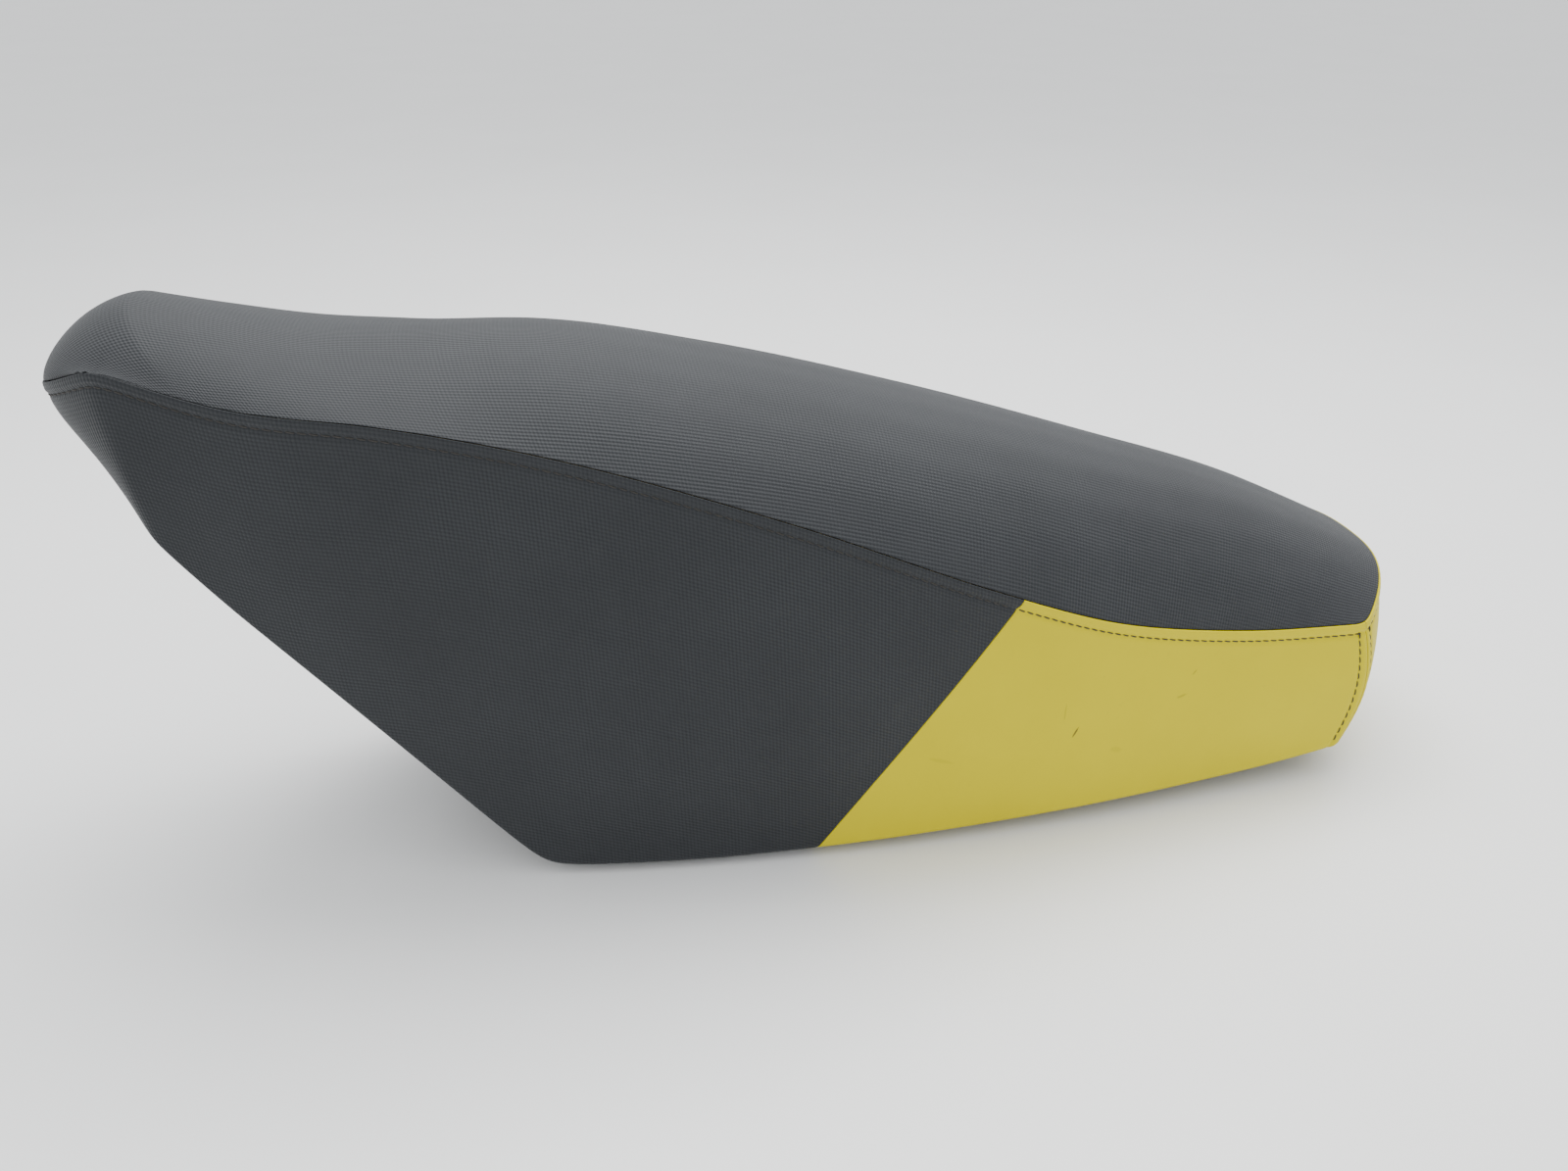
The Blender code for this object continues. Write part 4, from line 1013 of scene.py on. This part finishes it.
def noise(tree, scale, detail=3.0, roughness=0.5, stretch=(1, 1, 1)):
    """Noise in object space, from 0 to 1."""
    place = tree.nodes.new("ShaderNodeTexCoord").outputs["Object"]
    mapping = add_node(tree, "Mapping", {"Vector": place, "Scale": stretch})
    texture = add_node(tree, "TexNoise", {
        "Vector": mapping.outputs["Vector"], "Scale": scale, "Detail": detail,
        "Roughness": roughness})
    return texture.outputs["Fac"]


def map_range(tree, value, side, low, high):
    node = add_node(tree, "MapRange", {"Value": value, side + " Min": low, side + " Max": high})
    return node.outputs["Result"]


def spread(tree, value, low, high):
    """Maps 0..1 onto low..high."""
    return map_range(tree, value, "To", low, high)


def band(tree, value, low, high):
    """0 below low, 1 above high."""
    return map_range(tree, value, "From", low, high)


def blend_colours(tree, factor, first, second):
    node = tree.nodes.new("ShaderNodeMix")
    node.data_type = "RGBA"
    first, second = ((*one, 1.0) if isinstance(one, tuple) else one for one in (first, second))
    connect(tree, node, {"Factor": factor, 6: first, 7: second})
    return node.outputs[2]


def paint(tree, shader, factor, first, second):
    """The shader's base colour, mixed from two by the factor."""
    connect(tree, shader, {"Base Color": blend_colours(tree, factor, first, second)})


def bump(tree, shader, height, distance, strength=1.0):
    node = add_node(tree, "Bump", {"Height": height, "Distance": distance, "Strength": strength})
    connect(tree, shader, {"Normal": node.outputs["Normal"]})


def cloth_axes(tree):
    """The panel's own coordinates, in metres along and across the vinyl."""
    layer = tree.nodes.new("ShaderNodeUVMap")
    layer.uv_map = "cloth"
    split = add_node(tree, "SeparateXYZ", {"Vector": layer.outputs["UV"]})
    return split.outputs["X"], split.outputs["Y"]


WEAVE_PITCH = 0.0054  # of each set of diagonal waves; the dots lie half as far apart
WEAVE_HEIGHT = 0.00045


def weave_height(tree):
    """0 to 1 over an embossed diagonal weave, from the panel's own coordinates."""
    along, across = cloth_axes(tree)
    turns = 2 * math.pi / WEAVE_PITCH
    rising = times(tree, plus(tree, along, across), turns)
    falling = times(tree, calculate(tree, "SUBTRACT", along, across), turns)
    waves = times(tree, calculate(tree, "SINE", rising), calculate(tree, "SINE", falling))
    return calculate(tree, "MULTIPLY_ADD", waves, 0.5, 0.5)


def dark_vinyl():
    """Black vinyl with an embossed weave; its raised threads are painted lighter, partly as dust
    and partly as a painted highlight.
    """
    made, tree, shader = new_material("dark_vinyl_weave")
    raised = weave_height(tree)
    cloud = noise(tree, 9.0, 4.0)
    dust = noise(tree, 60.0, 5.0, 0.65)
    base = blend_colours(tree, band(tree, dust, 0.35, 0.7), *DARK_VINYL)
    # raised threads painted lighter in patches: partly dust, partly a painted highlight on the
    # crests
    crest_dust_and_highlight_share = spread(tree, band(tree, cloud, 0.3, 0.75), 0.25, 0.5)
    crest_dust_and_highlight = times(tree, raised, crest_dust_and_highlight_share)
    paint(tree, shader, crest_dust_and_highlight, base, DARK_DUST_AND_HIGHLIGHT)
    connect(tree, shader, {
        "Roughness": spread(tree, dust, 0.55, 0.70), "Specular IOR Level": 0.30,
        "Sheen Weight": 0.08, "Sheen Roughness": 0.5})
    fine = times(tree, noise(tree, 2600.0, 2.0), 0.25)
    bump(tree, shader, plus(tree, raised, fine), WEAVE_HEIGHT, 0.9)
    return made


SCUFFS = (
    # along the loop and down from the seam in metres, length, width, degrees, strength
    (0.759, 0.095, 0.0065, 0.0008, 65.0, 0.90),
    (0.850, 0.054, 0.0055, 0.0012, 25.0, 0.30),
    (0.859, 0.034, 0.0035, 0.0007, 50.0, 0.40),
    (0.748, 0.080, 0.0085, 0.0008, 88.0, 0.25),
    (0.798, 0.104, 0.0060, 0.0030, 0.0, 0.12),
    (0.645, 0.148, 0.0120, 0.0020, 5.0, 0.12),
)


def scuff(tree, along, across, centre_x, centre_y, length, width, angle, strength):
    """Mask of one short scratch on a panel."""
    turn = math.radians(angle)
    dx = calculate(tree, "SUBTRACT", along, centre_x)
    dy = calculate(tree, "SUBTRACT", across, centre_y)
    sine, cosine = math.sin(turn), math.cos(turn)
    axial = plus(tree, times(tree, dx, cosine / length), times(tree, dy, -sine / length))
    side = plus(tree, times(tree, dx, sine / width), times(tree, dy, cosine / width))
    reach = plus(tree, times(tree, axial, axial), times(tree, side, side))
    ragged = plus(tree, reach, spread(tree, noise(tree, 900.0, 4.0), -0.5, 0.5))
    mask = calculate(tree, "SUBTRACT", 1.0, band(tree, ragged, 0.3, 1.0))
    return times(tree, mask, strength)


def yellow_vinyl():
    """Smooth yellow vinyl with a fine grain, faint grime and a few scuffs."""
    made, tree, shader = new_material("yellow_vinyl_grain")
    along, across = cloth_axes(tree)
    cloud = noise(tree, 7.0, 5.0, 0.6)
    speck = noise(tree, 170.0, 4.0, 0.7)
    base = blend_colours(tree, band(tree, cloud, 0.30, 0.72), *YELLOW_VINYL)
    grime = times(tree, band(tree, speck, 0.62, 0.80), 0.16)
    colour = blend_colours(tree, grime, base, GRIME_COLOUR)
    marks = None
    for values in SCUFFS:
        mark = scuff(tree, along, across, *values)
        marks = mark if marks is None else calculate(tree, "MAXIMUM", marks, mark)
    paint(tree, shader, marks, colour, SCUFF_COLOUR)
    connect(tree, shader, {
        "Roughness": spread(tree, cloud, 0.40, 0.52), "Specular IOR Level": 0.12})
    coarse = times(tree, noise(tree, 420.0, 2.0), 0.6)
    grain = plus(tree, noise(tree, 1300.0, 3.0), coarse)
    bump(tree, shader, grain, 0.00012, 0.6)
    return made


def thread_finish():
    made, tree, shader = new_material("dark_thread")
    fuzz = noise(tree, 1800.0, 3.0)
    paint(tree, shader, fuzz, *THREAD_FIBRE)
    connect(tree, shader, {"Roughness": 0.7})
    bump(tree, shader, fuzz, 0.00012)
    return made


def plain_finish(name, colours, rough, grain_scale, grain_height, sheen=0.0):
    """Plastic or rubber: mottled colour, uneven roughness and a moulded grain."""
    made, tree, shader = new_material(name)
    cloud = noise(tree, 22.0, 5.0, 0.6)
    paint(tree, shader, band(tree, cloud, 0.3, 0.75), *colours)
    connect(tree, shader, {
        "Roughness": spread(tree, cloud, rough - 0.07, rough + 0.08), "Sheen Weight": sheen})
    bump(tree, shader, noise(tree, grain_scale, 3.0), grain_height, 0.7)
    return made


def metal_finish(name, colours, rough, stretch):
    """Drawn or plated steel with fine lines and blotches."""
    made, tree, shader = new_material(name)
    lines = noise(tree, 700.0, 3.0, 0.6, stretch)
    blotch = noise(tree, 90.0, 4.0, 0.6)
    paint(tree, shader, band(tree, blotch, 0.35, 0.7), *colours)
    connect(tree, shader, {
        "Roughness": spread(tree, lines, rough - 0.08, rough + 0.14), "Metallic": 1.0})
    bump(tree, shader, lines, 0.00003, 0.5)
    return made


def foam_finish():
    made, tree, shader = new_material("open_cell_foam")
    place = tree.nodes.new("ShaderNodeTexCoord").outputs["Object"]
    cells = add_node(tree, "TexVoronoi", {"Vector": place, "Scale": 900.0})
    cloud = noise(tree, 14.0, 4.0)
    paint(tree, shader, cloud, *FOAM)
    connect(tree, shader, {"Roughness": 0.95})
    bump(tree, shader, cells.outputs["Distance"], 0.0006)
    return made


def film_finish():
    made, tree, shader = new_material("clear_film")
    creases = noise(tree, 45.0, 5.0, 0.6)
    paint(tree, shader, creases, *FILM)
    connect(tree, shader, {"Roughness": 0.25, "Transmission Weight": 0.6})
    bump(tree, shader, creases, 0.0008)
    return made


def repaint(finishes):
    """Gives every CAD node that stays its finish."""
    for subpart in frame["record"]["subparts"]:
        slot = subpart["material_slot"]
        if slot in finishes:
            materials = NODES[subpart["node"]].data.materials
            materials.clear()
            materials.append(finishes[slot])


# ---- stage ----

FLOOR_REACH = 20.0
ROOM_COLOUR = (0.96, 0.98, 1.0, 1.0)
ROOM_LIGHT = (0.75, 1.7)  # world strength at the horizon and overhead
LIGHTS = (
    # name, place, target, width and height, watts
    ("key", (0.25, 0.55, 2.0), (0.1, 0.0, 0.2), (2.2, 1.2), 62.0),
    ("front_fill", (0.2, -2.2, 1.3), (0.0, 0.0, 0.2), (2.0, 1.2), 6.0),
)
CAMERA_PLACE = (-0.1876, -0.9044, 0.6358)
CAMERA_TILT = 62.3  # degrees up from straight down
CAMERA_TURN = -11.5
LENS = (30.7, 36.0)  # focal length and sensor width, in millimetres


def make_stage():
    made, tree, shader = new_material("pale_floor")
    cloud = noise(tree, 3.0, 4.0)
    paint(tree, shader, cloud, *FLOOR)
    connect(tree, shader, {"Roughness": 0.32})
    corners = [(x * FLOOR_REACH, y * FLOOR_REACH, 0)
               for x, y in ((-1, -1), (1, -1), (1, 1), (-1, 1))]
    mesh = make_mesh("floor", corners, [(0, 1, 2, 3)])
    mesh.materials.append(made)
    add_object("floor", mesh)


def add_light(name, place, target, size, power):
    lamp = bpy.data.lights.new(name, "AREA")
    lamp.shape = "RECTANGLE"
    lamp.size, lamp.size_y = size
    lamp.energy = power
    item = add_object(name, lamp)
    item.location = place
    item.rotation_euler = (Vector(target) - Vector(place)).to_track_quat("-Z", "Y").to_euler()


def light_scene():
    """A soft room, brighter overhead, with a large soft key light above and behind."""
    world = bpy.data.worlds.new("soft_room")
    world.use_nodes = True
    tree = world.node_tree
    place = tree.nodes.new("ShaderNodeTexCoord").outputs["Generated"]
    split = add_node(tree, "SeparateXYZ", {"Vector": place})
    strength = spread(tree, split.outputs["Z"], *ROOM_LIGHT)
    connect(tree, tree.nodes["Background"], {"Color": ROOM_COLOUR, "Strength": strength})
    bpy.context.scene.world = world
    for light in LIGHTS:
        add_light(*light)


def add_camera():
    lens = bpy.data.cameras.new("camera")
    lens.lens, lens.sensor_width = LENS
    camera = add_object("camera", lens)
    camera.location = CAMERA_PLACE
    camera.rotation_euler = (math.radians(CAMERA_TILT), 0.0, math.radians(CAMERA_TURN))
    bpy.context.scene.camera = camera


# ---- assembly ----

def split_places(walls):
    """Loop distance of the diagonal seam in every row; seen from the side it is straight."""
    top_height = smooth_curve(SEAM_HEIGHT, SPLIT_TOP)
    drop = top_height - base_height(SPLIT_BOTTOM)
    places = np.full(len(walls.points), walls.place_of(
        (SPLIT_TOP - NOSE_CORNER) / (REAR_CORNER - NOSE_CORNER)))
    for _ in range(SPLIT_ROUNDS):
        points = walls.sample(walls.points, places[:, None])[:, 0]
        share = np.clip((top_height - points[:, 2]) / drop, 0, 1)
        station = SPLIT_TOP + (SPLIT_BOTTOM - SPLIT_TOP) * share
        places = places + station - LENGTH / 2 - points[:, 0]
    return places


def make_walls(walls, swell, dark, yellow, thread):
    """The side and rear panels with their stitches."""
    rows = len(walls.points)
    nose = np.zeros(rows)
    split = split_places(walls)
    corner = np.full(rows, walls.place_of(1.0))
    other = walls.count * LOOP_STEP - corner
    side = "side", nose, split, (False, False), dark, "dark_vinyl"
    rear_side = "rear_side", split, corner, (False, True), yellow, "yellow_vinyl"
    rear = "rear", corner, other, (True, True), yellow, "yellow_vinyl"
    plans = [(hand, *plan) for hand in ("_left", "_right") for plan in (side, rear_side)]
    for hand, part, start, end, stitched, finish, slot in [*plans, ("", *rear)]:
        panel = wall_panel(walls, swell, start, end, stitched, hand == "_right")
        make_wall(f"cover_{part}_panel{hand}", panel, finish, slot, [f"cover_{part}{hand}"])
        corners = [corner_stitches(panel, at_end) for at_end in (0, 1) if stitched[at_end]]
        add_stitches(f"stitches_{part}{hand}", [top_stitches(panel), *corners], thread)


def main():
    walls = Walls()
    dark, yellow, thread = dark_vinyl(), yellow_vinyl(), thread_finish()
    steel = metal_finish("bare_steel_drawn", STEEL, 0.30, (1, 1, 14))
    swell = make_foam(walls, foam_finish())
    make_film(swell, film_finish())
    make_top(walls, swell, dark)
    make_walls(walls, swell, dark, yellow, thread)
    make_staples(walls, steel)
    make_spring(steel)
    repaint({
        "pan_plastic": plain_finish("moulded_pan", PAN, 0.5, 700.0, 0.00015),
        "bumper_rubber": plain_finish("soft_rubber", RUBBER, 0.72, 500.0, 0.0001, 0.1),
        "grip_plastic": plain_finish("grip_grain", GRIP, 0.45, 900.0, 0.0002),
        "bare_steel": steel,
        "zinc_steel": metal_finish("zinc_plate", ZINC, 0.34, (1, 1, 1)),
    })
    make_stage()
    light_scene()
    add_camera()


main()
